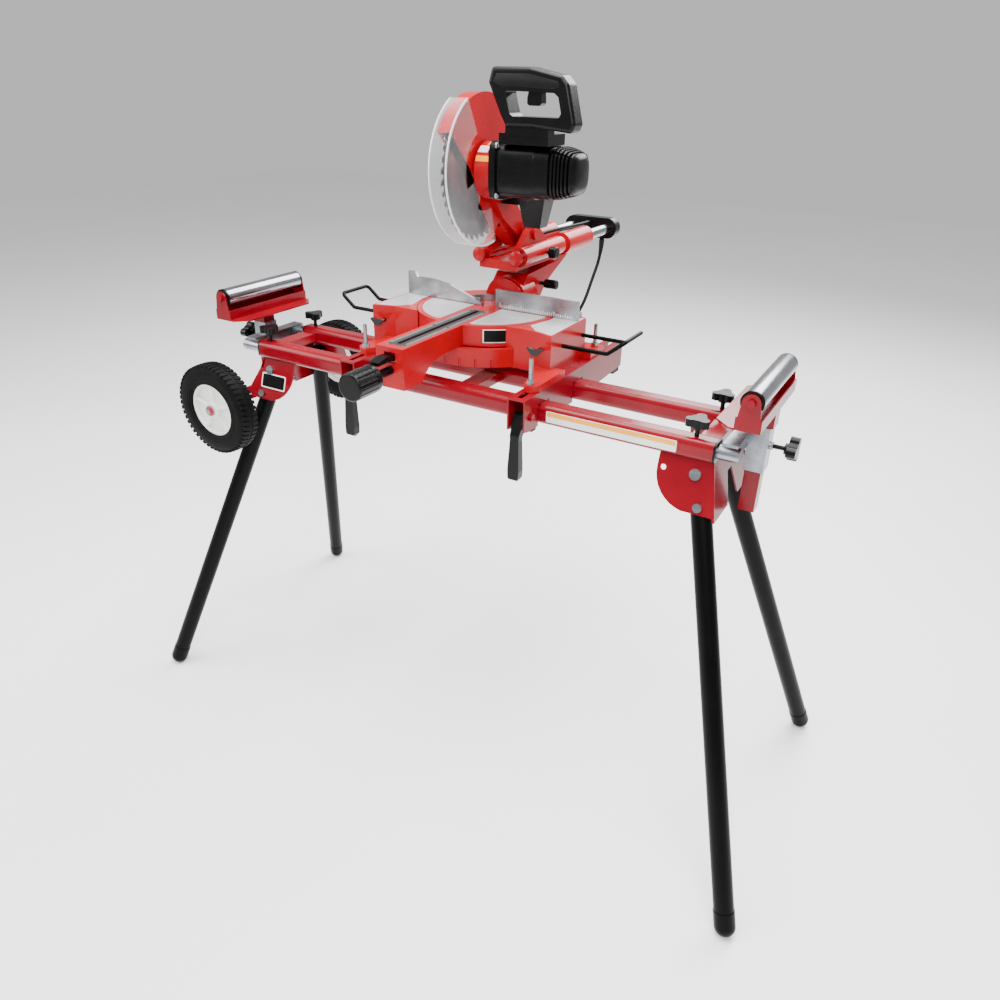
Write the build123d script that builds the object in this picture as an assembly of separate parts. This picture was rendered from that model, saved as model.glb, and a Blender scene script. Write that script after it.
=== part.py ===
from build123d import *
import math
import os

# Sliding compound mitre saw bolted to a folding, wheeled stand with two roller supports.
# Millimetres. +X runs along the stand, +Y to the rear, +Z up, and the floor is z = 0.
# Shapes are drawn about the stand's middle, then moved so that the origin sits under the
# middle of the whole machine's outline.

# ---------------------------------------------------------------- stand
RAIL_HALF = 514.0          # half the length of the two long rails
RAIL_Y = 72.0              # rail centre lines, front and rear
RAIL_Z = 815.0             # height of the rail centre lines
RAIL_WIDE = 40.0
RAIL_HIGH = 38.0
RAIL_ROUND = 12.0
RAIL_WALL = 2.0
RAIL_TOP = RAIL_Z + RAIL_HIGH / 2
RAIL_BOTTOM = RAIL_Z - RAIL_HIGH / 2
RAIL_INNER = RAIL_Y - RAIL_WIDE / 2
CROSS_MEMBERS = ((-512.0, -476.0), (-12.0, 26.0), (476.0, 512.0))

LEG_R = 18.5               # leg tube radius
LEG_WALL = 2.0
LEG_PIVOT = (490.0, 68.2, 765.0)
LEG_SPREAD_X = 0.307       # run along X for each unit of drop
LEG_SPREAD_Y = 0.3186      # run along Y for each unit of drop
LEG_TOP = 16.0             # tube above the pivot
FOOT_R = 19.5
FOOT_Z = 19.0              # height of the foot cap's round centre
LATCH_REACH = 57.0         # pivot to latch plunger
PLATE = 3.0                # leg bracket sheet
LEG_GAP = 0.4

AXLE_X = -543.0
AXLE_Z = 708.0
AXLE_R = 6.0
AXLE_HALF = 232.0
WHEEL_Y = 203.0
TYRE_R = 101.0
TYRE_WIDE = 44.0
HUB_R = 58.0
FIT = 0.05                 # radial running clearance

ARM_R = 13.0               # extension tube radius
ARM_END = 27.0             # tube end short of the receiver's far side
REACH = {-1: 583.0, 1: 567.0}    # stand middle to each receiver, left and right
ARM_LENGTH = 430.0
RECEIVER = 35.0
RECEIVER_Z = (768.0, 850.0)
POST = 28.0
POST_Z = (690.0, 877.0)
ROLLER_R = 19.0
ROLLER_HALF = 113.0
ROLLER_Z = 924.0
CLAMP_X = (-495.0, 478.0)
STUD_R = 4.0

# ---------------------------------------------------------------- saw mounts
MOUNT_X = (-214.5, 171.0)
MOUNT_HALF = 18.0
MOUNT_TOP = 857.0
MOUNT_Y = (-145.0, 292.0)
SHEET = 3.0
LEVER_PIVOT = (-121.0, 819.0)

# ---------------------------------------------------------------- saw
SAW_X = -45.0              # cutting plane
TABLE_Y = 115.0            # mitre pivot and fence face
TABLE_Z = 935.0
TABLE_R = 148.0
TURN_Z = 894.5             # underside of the turntable
BASE_R = 163.0
BOWL_R = 151.0
BASE_TOP = 893.5
ARM_HALF = 30.0
ARM_FRONT = -222.0
KERF_HALF = 22.0
KERF_Y = (-205.0, 80.0)

BLADE_R = 127.0
BLADE_Y = 73.0
BLADE_Z = 1204.0
BLADE_HALF = 1.3
ARBOR_R = 8.0
GUARD_R = 138.0
GUARD_ANGLES = (118.0, 285.0)
HOOD_R = 131.0
HOOD_X = (-60.0, -30.0)
CHOP_Y = 223.0
CHOP_Z = 1071.0
MOTOR_X = (8.0, 140.0, 178.0)
KNOB_FRONT = -334.0        # front of the mitre lock knob

TUBE_R = 12.5
TUBE_Z = 1032.0
TUBE_X = (SAW_X - 44.0, SAW_X + 44.0)
TUBE_Y = (150.0, 606.0)
SLEEVE_Y = (352.0, 473.0)
CARRIAGE_Y = (150.0, 339.0)
SLIDE_KNOB_Y = 250.0
END_CAP_Y = (600.0, 632.0)
BEVEL_Y = (186.0, 240.0)

REST_Z = 905.0
REST_RISE = 26.0
REST_Y = (44.0, 132.0)
WIRE_R = 4.0
REST_SCREW_X = (-231.0, 140.0)

# ---------------------------------------------------------------- power cord
CORD_R = 4.0
CORD_ROUTE = (
    (-14, 607, 1003), (-14, 607, 964), (-16, 568, 911), (-16, 526, 856), (-34, 484, 808),
    (-73, 441, 794), (-118, 405, 802), (-160, 370, 824), (-204, 331, 850), (-247, 289, 861),
)
COIL_CENTRE = (-214.5, 254.0)
COIL_R = (28.0, 52.0)
COIL_Z = (857.0, 873.0)
PLUG_X = -240.0

# The outline runs from the mitre lock knob to the slide tubes' end cap.
ORIGIN_SHIFT = (0.0, -(KNOB_FRONT + END_CAP_Y[1]) / 2, 0.0)


# ---------------------------------------------------------------- drawing helpers
def block(x0, x1, y0, y1, z0, z1):
    """A box between two corners."""
    middle = Pos((x0 + x1) / 2, (y0 + y1) / 2, (z0 + z1) / 2)
    return middle * Box(x1 - x0, y1 - y0, z1 - z0)


def rod(start, end, radius):
    """A round bar between two points."""
    run = Vector(*end) - Vector(*start)
    return extrude(Plane(origin=tuple(start), z_dir=run) * Circle(radius), run.length)


def pipe(start, end, outer, inner):
    """A round tube between two points."""
    return rod(start, end, outer) - rod(start, end, inner)


def bar_x(y, z, x0, x1, radius):
    """A round bar along X."""
    return rod((x0, y, z), (x1, y, z), radius)


def bar_y(x, z, y0, y1, radius):
    """A round bar along Y."""
    return rod((x, y0, z), (x, y1, z), radius)


def bar_z(x, y, z0, z1, radius):
    """A round bar along Z."""
    return rod((x, y, z0), (x, y, z1), radius)


def outline(points, radius):
    """A closed face through 3-D points, with its corners rounded where a radius is given."""
    if radius:
        return make_face(FilletPolyline(*points, radius=radius, close=True))
    return make_face(Polyline(*points, close=True))


def prism_x(points, x0, x1, radius=0):
    """An outline in (y, z) drawn along X."""
    face = outline([(x0, y, z) for y, z in points], radius)
    return extrude(face, amount=x1 - x0, dir=(1, 0, 0))


def prism_y(points, y0, y1, radius=0):
    """An outline in (x, z) drawn along Y."""
    face = outline([(x, y0, z) for x, z in points], radius)
    return extrude(face, amount=y1 - y0, dir=(0, 1, 0))


def prism_z(points, z0, z1, radius=0):
    """An outline in (x, y) drawn along Z."""
    face = outline([(x, y, z0) for x, y in points], radius)
    return extrude(face, amount=z1 - z0, dir=(0, 0, 1))


def front_and_rear(shape):
    """A shape and its mirror image across the stand's long middle plane."""
    return [shape, mirror(shape, about=Plane.XZ)]


def lobed_knob(origin, direction, radius, height):
    """A three-lobed hand knob with a short boss under it."""
    plane = Plane(origin=origin, z_dir=direction)
    core = Circle(radius * 0.62)
    for turn in (90, 210, 330):
        angle = math.radians(turn)
        core += Pos(radius * 0.6 * math.cos(angle), radius * 0.6 * math.sin(angle)) * Circle(radius * 0.4)
    knob = extrude(plane * core, height)
    boss = extrude(plane * Circle(radius * 0.42), -height * 0.35)
    return knob + boss


# ---------------------------------------------------------------- stand pieces
def rail_frame():
    """Two rounded rails welded to three cross members."""
    frame = None
    for side in (-1, 1):
        plane = Plane(origin=(-RAIL_HALF, side * RAIL_Y, RAIL_Z), x_dir=(0, 1, 0), z_dir=(1, 0, 0))
        skin = plane * RectangleRounded(RAIL_WIDE, RAIL_HIGH, RAIL_ROUND)
        hollow = plane * RectangleRounded(
            RAIL_WIDE - 2 * RAIL_WALL, RAIL_HIGH - 2 * RAIL_WALL, RAIL_ROUND - RAIL_WALL)
        rail = extrude(skin, 2 * RAIL_HALF) - extrude(hollow, 2 * RAIL_HALF)
        for x in CLAMP_X:
            rail -= bar_z(x, side * RAIL_Y, RAIL_Z, RAIL_TOP + 2, STUD_R + FIT)
        frame = rail if frame is None else frame + rail
    for x0, x1 in CROSS_MEMBERS:
        cross = block(x0, x1, -RAIL_INNER - 0.5, RAIL_INNER + 0.5, RAIL_Z - 9, RAIL_Z + 9)
        cross -= block(x0 + 3, x1 - 3, -RAIL_INNER, RAIL_INNER, RAIL_Z - 9, RAIL_Z + 6)
        frame += cross
    return frame


def leg_direction(side):
    """Unit vector down a leg, for the front right leg when side is 1."""
    return Vector(side * LEG_SPREAD_X, -LEG_SPREAD_Y, -1).normalized()


def plate_normal():
    """Outward normal of the front leg brackets' plates, which lean with the legs."""
    return Vector(0, -1, LEG_SPREAD_Y).normalized()


def leg_pivot(side):
    """Pivot of the front leg at one end."""
    return Vector(side * LEG_PIVOT[0], -LEG_PIVOT[1], LEG_PIVOT[2])


def plate_point(side, across, up):
    """A point in the leaning plane of a front leg, from its pivot."""
    rise = Vector(0, LEG_SPREAD_Y, 1).normalized()
    return leg_pivot(side) + Vector(across, 0, 0) + rise * up


def leg_plate(side, points, radii_face):
    """A bracket plate on the outer side of a front leg."""
    offset = plate_normal() * (LEG_R + LEG_GAP)
    corners = [tuple(plate_point(side, a, u) + offset) for a, u in points]
    plate = extrude(make_face(Polyline(*corners, close=True)), amount=PLATE, dir=tuple(plate_normal()))
    for across, up, radius in radii_face:
        start = plate_point(side, across, up) + offset
        plate += rod(start, (start + plate_normal() * PLATE), radius)
    return plate - block(-700, 700, -300, 0, RAIL_BOTTOM, RAIL_BOTTOM + 200)


def plate_hole(side, across, up, radius):
    """A cutter square to the bracket plate."""
    start = plate_point(side, across, up) + plate_normal() * LEG_R
    return rod(start, (start + plate_normal() * 3 * PLATE), radius)


def latch_place(side):
    """Where the latch plunger meets the leg, in the plate's plane."""
    slope = math.hypot(1, LEG_SPREAD_Y)
    angle = math.atan(LEG_SPREAD_X / slope)
    return side * LATCH_REACH * math.sin(angle), -LATCH_REACH * math.cos(angle)


def leg_bracket(side):
    """A U-shaped sheet bracket under one end of the rails, holding two legs."""
    quarter = [(LATCH_REACH + 11) * math.cos(math.radians(a)) for a in range(180, 261, 10)]
    heights = [(LATCH_REACH + 11) * math.sin(math.radians(a)) for a in range(180, 261, 10)]
    rim = list(zip(quarter, heights))
    if side > 0:
        points = [(-68, 40)] + rim + [(48, -67), (24, 40)]
        discs = []
    else:
        points = [(68, 40)] + [(-a, u) for a, u in rim] + [(-48, -67), (-56, -48), (-31, 0), (-21, 3), (-18, 40)]
        discs = [(AXLE_X + LEG_PIVOT[0], (AXLE_Z - LEG_PIVOT[2]) * math.hypot(1, LEG_SPREAD_Y), 15)]
    front = leg_plate(side, points, discs)
    across, up = latch_place(side)
    front -= plate_hole(side, across, up, 5 + FIT)
    front -= plate_hole(side, 0, 0, 5)
    if side > 0:
        front -= plate_hole(side, -LATCH_REACH, 0, 5)
    halves = front_and_rear(front)
    foot_x = side * (LEG_PIVOT[0] + 49)
    top_x = side * (LEG_PIVOT[0] + 25)
    low_z = LEG_PIVOT[2] - 64
    web = prism_y([(top_x, RAIL_BOTTOM), (top_x - side * PLATE, RAIL_BOTTOM),
                   (foot_x - side * PLATE, low_z), (foot_x, low_z)], -130, 130)
    drop = LEG_PIVOT[2] - low_z
    flare = LEG_PIVOT[1] + (LEG_R + LEG_GAP + PLATE) * math.hypot(1, LEG_SPREAD_Y)
    rise = RAIL_BOTTOM - LEG_PIVOT[2]
    span = [(-flare + LEG_SPREAD_Y * rise, RAIL_BOTTOM), (-flare - LEG_SPREAD_Y * drop, low_z),
            (-30, low_z), (-12, LEG_PIVOT[2] - 8), (12, LEG_PIVOT[2] - 8), (30, low_z),
            (flare + LEG_SPREAD_Y * drop, low_z), (flare - LEG_SPREAD_Y * rise, RAIL_BOTTOM)]
    web &= prism_x(span, -700, 700)
    bracket = halves[0] + halves[1] + web
    if side < 0:
        bracket -= bar_y(AXLE_X, AXLE_Z, -AXLE_HALF, AXLE_HALF, AXLE_R)
    return bracket


def leg(side):
    """A front leg: round tube with a rounded foot cap, bored for its pivot bolt."""
    down = leg_direction(side)
    pivot = leg_pivot(side)
    top = pivot - down * LEG_TOP
    reach = (LEG_PIVOT[2] - FOOT_Z) / -down.Z
    foot = pivot + down * reach
    tube = pipe(top, (foot - down * 30), LEG_R, LEG_R - LEG_WALL)
    normal = plate_normal()
    tube -= rod((pivot - normal * 30), (pivot + normal * 30), 5 + FIT)
    cap = rod((foot - down * 30), foot, FOOT_R)
    cap += Pos(foot.X, foot.Y, foot.Z) * Sphere(FOOT_R)
    cap += rod((foot - down * 45), (foot - down * 29), LEG_R - LEG_WALL)
    cap -= block(-900, 900, -500, 500, -50, 0)
    return [tube, cap]


def leg_bolt(side):
    """A carriage bolt with a domed head and a nut, the pivot of one front leg."""
    normal = plate_normal()
    pivot = leg_pivot(side)
    face = pivot + normal * (LEG_R + LEG_GAP + PLATE)
    inner = pivot - normal * (LEG_R + LEG_GAP)
    bolt = rod((inner - normal * 8), face, 5)
    bolt += rod(face, (face + normal * 4), 10)
    bolt += rod((inner - normal * 7), inner, 9)
    return bolt


def latch_plunger(side):
    """A domed spring plunger in the bracket plate, over the leg."""
    across, up = latch_place(side)
    normal = plate_normal()
    start = plate_point(side, across, up) + normal * (LEG_R + LEG_GAP + 0.2)
    end = start + normal * (PLATE + 2)
    pin = rod(start, end, 5)
    pin += rod((end - normal * 1.5), (end + normal * 3), 8)
    return pin


def wheel_parts():
    """Front tyre and hub, drawn on the axle at the front of the stand."""
    y0 = -WHEEL_Y - TYRE_WIDE / 2
    y1 = -WHEEL_Y + TYRE_WIDE / 2
    tyre = bar_y(AXLE_X, AXLE_Z, y0, y1, TYRE_R)
    tyre = fillet(tyre.edges().filter_by(GeomType.CIRCLE), 12)
    tyre -= bar_y(AXLE_X, AXLE_Z, y0 - 1, y1 + 1, HUB_R)
    hub = bar_y(AXLE_X, AXLE_Z, y0 + 5, y1 - 5, HUB_R)
    hub -= bar_y(AXLE_X, AXLE_Z, y0, y0 + 14, HUB_R - 5)
    hub -= bar_y(AXLE_X, AXLE_Z, y1 - 14, y1, HUB_R - 5)
    hub += bar_y(AXLE_X, AXLE_Z, y0 + 2, y1 + 3, 19)
    for spoke in range(5):
        angle = math.radians(90 + 72 * spoke)
        along = (math.cos(angle), math.sin(angle))
        tip = (AXLE_X + along[0] * (HUB_R - 4), y0 + 12, AXLE_Z + along[1] * (HUB_R - 4))
        hub += rod((AXLE_X, y0 + 12, AXLE_Z), tip, 5)
    hub -= bar_y(AXLE_X, AXLE_Z, y0, y1 + 6, AXLE_R + FIT)
    return tyre, hub


def rail_bushes():
    """Four plastic bushes that guide the extension tubes at the rail mouths."""
    bushes = []
    for end in (-1, 1):
        for side in (-1, 1):
            mouth = Plane(origin=(end * RAIL_HALF, side * RAIL_Y, RAIL_Z), x_dir=(0, 1, 0), z_dir=(end, 0, 0))
            lip = extrude(mouth * RectangleRounded(RAIL_WIDE, RAIL_HIGH, RAIL_ROUND), 4)
            body = mouth * RectangleRounded(RAIL_WIDE - 2 * RAIL_WALL - 0.2, RAIL_HIGH - 2 * RAIL_WALL - 0.2,
                                            RAIL_ROUND - RAIL_WALL)
            bush = lip + extrude(body, -11)
            bush -= bar_x(side * RAIL_Y, RAIL_Z, end * (RAIL_HALF - 20), end * (RAIL_HALF + 10), ARM_R + FIT)
            bushes.append(bush)
    return bushes


def extension_arm(end):
    """Two plated tubes, a cross bar and an upright square receiver, welded together."""
    far = REACH[end]
    tip = end * (far - ARM_END + 15)
    inner = end * (far - ARM_LENGTH)
    arm = None
    for side in (-1, 1):
        tube = bar_x(side * RAIL_Y, RAIL_Z, inner, tip, ARM_R) - bar_x(side * RAIL_Y, RAIL_Z, inner, tip, ARM_R - 1.5)
        tube += bar_x(side * RAIL_Y, RAIL_Z, tip - end * 6, tip, ARM_R - 1)
        arm = tube if arm is None else arm + tube
    bar = sorted((end * (far - RECEIVER / 2 - 26), end * (far - RECEIVER / 2 + 0.5)))
    bridge = block(bar[0], bar[1], -RAIL_Y - 4, RAIL_Y + 4, RAIL_Z - 6, RAIL_Z + 18)
    bridge -= bar_x(-RAIL_Y, RAIL_Z, bar[0] - 1, bar[1] + 1, ARM_R - 1)
    bridge -= bar_x(RAIL_Y, RAIL_Z, bar[0] - 1, bar[1] + 1, ARM_R - 1)
    bridge -= block(bar[0] + 3, bar[1] - 3, -RAIL_Y + 15, RAIL_Y - 15, RAIL_Z - 7, RAIL_Z + 15)
    arm += bridge
    x = end * far
    half = RECEIVER / 2
    socket = block(x - half, x + half, -half, half, *RECEIVER_Z)
    nut = sorted((x + end * half, x + end * (half + 6)))
    socket += bar_x(0, RAIL_Z, nut[0], nut[1], 7)
    arm += socket
    bore = POST / 2 + 0.25
    arm -= block(x - bore, x + bore, -bore, bore, RECEIVER_Z[0] - 1, RECEIVER_Z[1] + 1)
    arm -= bar_x(0, RAIL_Z, x, x + end * 40, STUD_R + FIT)
    return arm


def roller_stand(end):
    """Square post with a bent-sheet head, and the roller's fixed axle bolt."""
    x = end * REACH[end]
    half = POST / 2
    z0 = POST_Z[1]
    post = block(x - half, x + half, -half, half, *POST_Z)
    post -= block(x - half + 2, x + half - 2, -half + 2, half - 2, POST_Z[0] - 1, POST_Z[1] - 3)
    edge = ROLLER_HALF + 5
    head = block(x - 21, x + 21, -edge, edge, z0, z0 + 3)
    head += block(x - 21, x - 18.5, -edge, edge, z0, z0 + 22)
    head += block(x + 18.5, x + 21, -edge, edge, z0, z0 + 22)
    inward = sorted((x - end * 20, x - end * 56))
    tray = block(inward[0], inward[1], -edge, edge, z0, z0 + 3)
    corner = x - end * 56
    for side in (-1, 1):
        tray -= prism_z([(corner - end, side * (edge + 1)), (corner + end * 28, side * (edge + 1)),
                         (corner - end, side * (edge - 28))], z0 - 1, z0 + 4)
    head += tray
    for y0 in (-edge, edge - 2.5):
        ear = prism_y([(x - 21, z0), (x + 21, z0), (x + 15, ROLLER_Z), (x - 15, ROLLER_Z)], y0, y0 + 2.5)
        ear += bar_y(x, ROLLER_Z, y0, y0 + 2.5, 15)
        head += ear - bar_y(x, ROLLER_Z, y0 - 1, y0 + 4, STUD_R)
    gusset = prism_y([(x - end * 14, z0), (x + end * 21, z0), (x + end * 21, z0 - 27), (x - end * 14, z0 - 27)], -16, 16)
    gusset -= block(x - half, x + half, -half, half, z0 - 30, z0)
    stand = post + head + gusset
    bolt = bar_y(x, ROLLER_Z, -edge - 1, edge + 1, STUD_R)
    for side in (-1, 1):
        ends = sorted((side * edge, side * (edge + 6)))
        bolt += bar_y(x, ROLLER_Z, ends[0], ends[1], 7)
    return [stand, bolt]


def roller(end):
    """Plated roller tube with bored end plugs."""
    x = end * REACH[end]
    body = bar_y(x, ROLLER_Z, -ROLLER_HALF, ROLLER_HALF, ROLLER_R)
    body -= bar_y(x, ROLLER_Z, -ROLLER_HALF + 10, ROLLER_HALF - 10, ROLLER_R - 2)
    return body - bar_y(x, ROLLER_Z, -ROLLER_HALF - 1, ROLLER_HALF + 1, STUD_R + FIT)


def receiver_knob(end):
    """Hand knob on a threaded rod that locks a roller post."""
    x = end * REACH[end]
    tip = x + end * (POST / 2 + 0.5)
    stud = bar_x(0, RAIL_Z, tip, x + end * 44, STUD_R)
    return stud + lobed_knob((x + end * 48, 0, RAIL_Z), (end, 0, 0), 23, 16)


def clamp_knob(x, side):
    """Hand knob on a stud that clamps an extension tube from above."""
    y = side * RAIL_Y
    stud = bar_z(x, y, RAIL_Z + ARM_R + 0.5, RAIL_TOP + 16, STUD_R)
    return stud + lobed_knob((x, y, RAIL_TOP + 19), (0, 0, 1), 22, 13)


# ---------------------------------------------------------------- saw mount pieces
def mount_bracket(x):
    """A channel across both rails with a slotted top, and the lever's pivot pin."""
    x0 = x - MOUNT_HALF
    x1 = x + MOUNT_HALF
    y0, y1 = MOUNT_Y
    side = [(y0, MOUNT_TOP), (y0, RAIL_BOTTOM + 1), (y0 + 18, RAIL_BOTTOM - 3), (RAIL_Y + 22, RAIL_BOTTOM - 3),
            (y1, RAIL_BOTTOM + 6), (y1, MOUNT_TOP)]
    channel = prism_x(side, x0, x1)
    channel -= block(x0 + SHEET, x1 - SHEET, y0 - 1, y1 + 1, RAIL_BOTTOM - 10, MOUNT_TOP - SHEET)
    for centre in (-RAIL_Y, RAIL_Y):
        gap = RAIL_WIDE / 2 + LEG_GAP
        channel -= block(x0 - 1, x1 + 1, centre - gap, centre + gap, RAIL_BOTTOM - 10, RAIL_TOP + 0.3)
    channel -= block(x - 4.5, x + 4.5, y0 + 12, -40, MOUNT_TOP - SHEET - 1, MOUNT_TOP + 1)
    channel -= block(x - 4.5, x + 4.5, 150, y1 - 15, MOUNT_TOP - SHEET - 1, MOUNT_TOP + 1)
    y, z = LEVER_PIVOT
    pin = bar_x(y, z, x0 - 1, x1 + 1, STUD_R)
    pin += bar_x(y, z, x0 - 5, x0, 7) + bar_x(y, z, x1, x1 + 5, 7)
    channel -= bar_x(y, z, x0 - 1, x1 + 1, STUD_R)
    return [channel, pin]


def mount_feet():
    """Rubber pads that grip the rails at the front and rear of each mount."""
    pads = []
    for x in MOUNT_X:
        x0 = x - MOUNT_HALF + SHEET
        x1 = x + MOUNT_HALF - SHEET
        pads.append(block(x0, x1, -110, -RAIL_Y - 22, RAIL_BOTTOM - 10, RAIL_BOTTOM + 8))
        pads.append(block(x0, x1, MOUNT_Y[1] - 32, MOUNT_Y[1] - 2, RAIL_BOTTOM - 6, RAIL_BOTTOM + 14))
    return pads


def mount_lever(x):
    """Paddle lever hanging at the front of a mount."""
    y, z = LEVER_PIVOT
    side = [(y + 8, z - 4), (y + 2, z + 9), (y - 10, z + 4), (y - 27, z - 30), (y - 30, z - 118),
            (y - 21, z - 122), (y - 13, z - 116), (y - 13, z - 34)]
    lever = prism_x(side, x - 12, x + 12, radius=3)
    front = [(-12, 12), (12, 12), (9, -40), (12, -100), (11, -115), (6, -123), (-6, -123), (-11, -115), (-12, -100),
             (-9, -40)]
    lever &= prism_y([(x + across, z + up) for across, up in front], y - 40, y + 20)
    return lever - bar_x(y, z, x - 20, x + 20, STUD_R + FIT)


# ---------------------------------------------------------------- saw pieces
def mirrored_x(x):
    """The matching place on the other side of the cutting plane."""
    return 2 * SAW_X - x


def saw_base():
    """Base casting: round bowl, two side tables, foot lugs and the mitre detent ring."""
    right = [(118, 8), (165, -6), (165, 146), (86, 196)]
    left = [(mirrored_x(x), y) for x, y in reversed(right)]
    body = prism_z(right + left, MOUNT_TOP, TABLE_Z)
    body += bar_z(SAW_X, TABLE_Y, MOUNT_TOP, BASE_TOP, BASE_R)
    body -= bar_z(SAW_X, TABLE_Y, BASE_TOP, TABLE_Z + 1, TABLE_R + 1.5)
    body -= block(-165, 75, 150, 260, BASE_TOP, TABLE_Z + 1)
    for notch in range(-3, 4):
        angle = math.radians(-90 + 11.25 * notch)
        reach = BASE_R + 1
        x = SAW_X + reach * math.cos(angle)
        y = TABLE_Y + reach * math.sin(angle)
        body -= bar_z(x, y, MOUNT_TOP - 1, MOUNT_TOP + 16, 3)
    body -= block(122, 158, 12, 138, MOUNT_TOP - 1, TABLE_Z - 8)
    body -= block(mirrored_x(158), mirrored_x(122), 12, 138, MOUNT_TOP - 1, TABLE_Z - 8)
    left_lug = [(-207, -93), (-222, -93), (-234, -80), (-234, 12), (-206, 12), (-199, -72)]
    right_lug = [(163, -103), (180, -103), (188, -90), (188, 12), (120, 12), (154, -60), (156, -90)]
    for lug in (left_lug, right_lug):
        body += prism_z(lug, MOUNT_TOP, MOUNT_TOP + 13)
    for x in MOUNT_X:
        inner = x - math.copysign(45, x)
        body += block(min(x, inner) - 14, max(x, inner) + 14, 135, 200, MOUNT_TOP, MOUNT_TOP + 13)
    body -= bar_z(SAW_X, TABLE_Y, MOUNT_TOP + 8, BASE_TOP + 1, BOWL_R)
    body += bar_z(SAW_X, TABLE_Y, MOUNT_TOP, BASE_TOP, 24)
    body -= bar_z(SAW_X, TABLE_Y, MOUNT_TOP - 1, BASE_TOP + 1, 10 + FIT)
    for x, y in saw_bolt_places():
        body -= bar_z(x, y, MOUNT_TOP - 1, MOUNT_TOP + 15, 4.5)
    for y in REST_Y:
        body -= bar_x(y, REST_Z, 88, 170, WIRE_R + FIT)
        body -= bar_x(y, REST_Z, mirrored_x(170), mirrored_x(88), WIRE_R + FIT)
    for x in REST_SCREW_X:
        body -= bar_y(x, REST_Z, -30, 13, 4)
    return body


def saw_bolt_places():
    """Centres of the four hold-down bolts."""
    return [(MOUNT_X[0], -83), (MOUNT_X[0], 183), (MOUNT_X[1], -93), (MOUNT_X[1], 183)]


def saw_fasteners():
    """Four hold-down bolts and the two wing screws of the work rests."""
    pieces = []
    for x, y in saw_bolt_places():
        stud = bar_z(x, y, MOUNT_TOP - 10, MOUNT_TOP + 60, 4)
        stud += bar_z(x, y, MOUNT_TOP - SHEET - 7, MOUNT_TOP - SHEET, 8)
        stud += Pos(x, y, MOUNT_TOP + 17) * extrude(RegularPolygon(8, 6), 4, both=True)
        pieces.append(stud)
    for x in REST_SCREW_X:
        screw = bar_y(x, REST_Z, -20, REST_Y[0] - WIRE_R - 0.5, 4)
        wings = [(x - 17, REST_Z + 7), (x - 12, REST_Z + 9), (x, REST_Z + 5), (x + 12, REST_Z + 9),
                 (x + 17, REST_Z + 7), (x + 5, REST_Z - 6), (x - 5, REST_Z - 6)]
        pieces.append(screw + prism_y(wings, -26, -19))
    return pieces


def fence():
    """One-piece fence: two tall faces joined behind the cut by a curved bridge."""
    foot = TABLE_Z + 0.4
    right = block(-28, 160, TABLE_Y, TABLE_Y + 7, foot, 973.5)
    left = prism_y([(-250, foot), (-250, 984), (-232, 984), (-226, 974), (-185, 974), (-142, 968),
                    (-62, 940), (-62, foot)], TABLE_Y, TABLE_Y + 7)
    ring = bar_z(SAW_X, TABLE_Y, foot, TABLE_Z + 13, 61) - bar_z(SAW_X, TABLE_Y, foot, TABLE_Z + 13, 51)
    ring &= block(-200, 200, TABLE_Y + 5, 300, foot, TABLE_Z + 20)
    bridge = ring + block(-28, 16, TABLE_Y + 6.5, TABLE_Y + 12, foot, TABLE_Z + 13)
    bridge += block(-106, -70, TABLE_Y + 6.5, TABLE_Y + 12, foot, TABLE_Z + 13)
    whole = right + left + bridge
    for x0, x1 in ((128, 156), (-246, -218)):
        whole += block(x0, x1, TABLE_Y + 5, TABLE_Y + 28, TABLE_Z, TABLE_Z + 12)
    return whole


def turntable():
    """Turntable with its front arm, kerf recess, rear bevel boss and pivot spindle."""
    table = bar_z(SAW_X, TABLE_Y, TURN_Z, TABLE_Z, TABLE_R)
    table -= bar_z(SAW_X, TABLE_Y, TURN_Z - 1, TABLE_Z - 9, TABLE_R - 7)
    table += bar_z(SAW_X, TABLE_Y, TURN_Z, TABLE_Z - 5, 30)
    table += block(SAW_X - 17, SAW_X + 17, -34, 185, TURN_Z + 2, TABLE_Z - 4)
    side = [(-20, TABLE_Z), (ARM_FRONT, TABLE_Z), (ARM_FRONT, MOUNT_TOP + 2), (-166, MOUNT_TOP + 2), (-157, 872),
            (-142, 884), (-118, 891), (-90, TURN_Z), (-20, TURN_Z)]
    arm = prism_x(side, SAW_X - ARM_HALF, SAW_X + ARM_HALF)
    arm -= block(SAW_X - ARM_HALF + 5, SAW_X + ARM_HALF - 5, ARM_FRONT + 6, -40, MOUNT_TOP - 10, TABLE_Z - 22)
    table += arm
    table -= block(SAW_X - KERF_HALF, SAW_X + KERF_HALF, KERF_Y[0], KERF_Y[1], TABLE_Z - 4, TABLE_Z + 1)
    table -= block(SAW_X - 9, SAW_X + 9, KERF_Y[0] + 6, KERF_Y[1] - 2, TABLE_Z - 18, TABLE_Z + 1)
    table -= block(SAW_X - 58, SAW_X + 58, 185, 300, TURN_Z - 1, TABLE_Z + 1)
    boss = bar_y(SAW_X, TABLE_Z, 179, 185, 46)
    boss &= block(-200, 200, 178, 186, TURN_Z, 1000)
    table += boss + bar_y(SAW_X, TABLE_Z, 184, 234, 9)
    table += bar_z(SAW_X, TABLE_Y, MOUNT_TOP + 2, TURN_Z + 5, 10)
    table -= bar_y(SAW_X, 893, ARM_FRONT - 1, ARM_FRONT + 12, 8 + FIT)
    table -= block(SAW_X - 12, SAW_X + 12, ARM_FRONT - 1, ARM_FRONT + 8, 906, 926)
    return table


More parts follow.
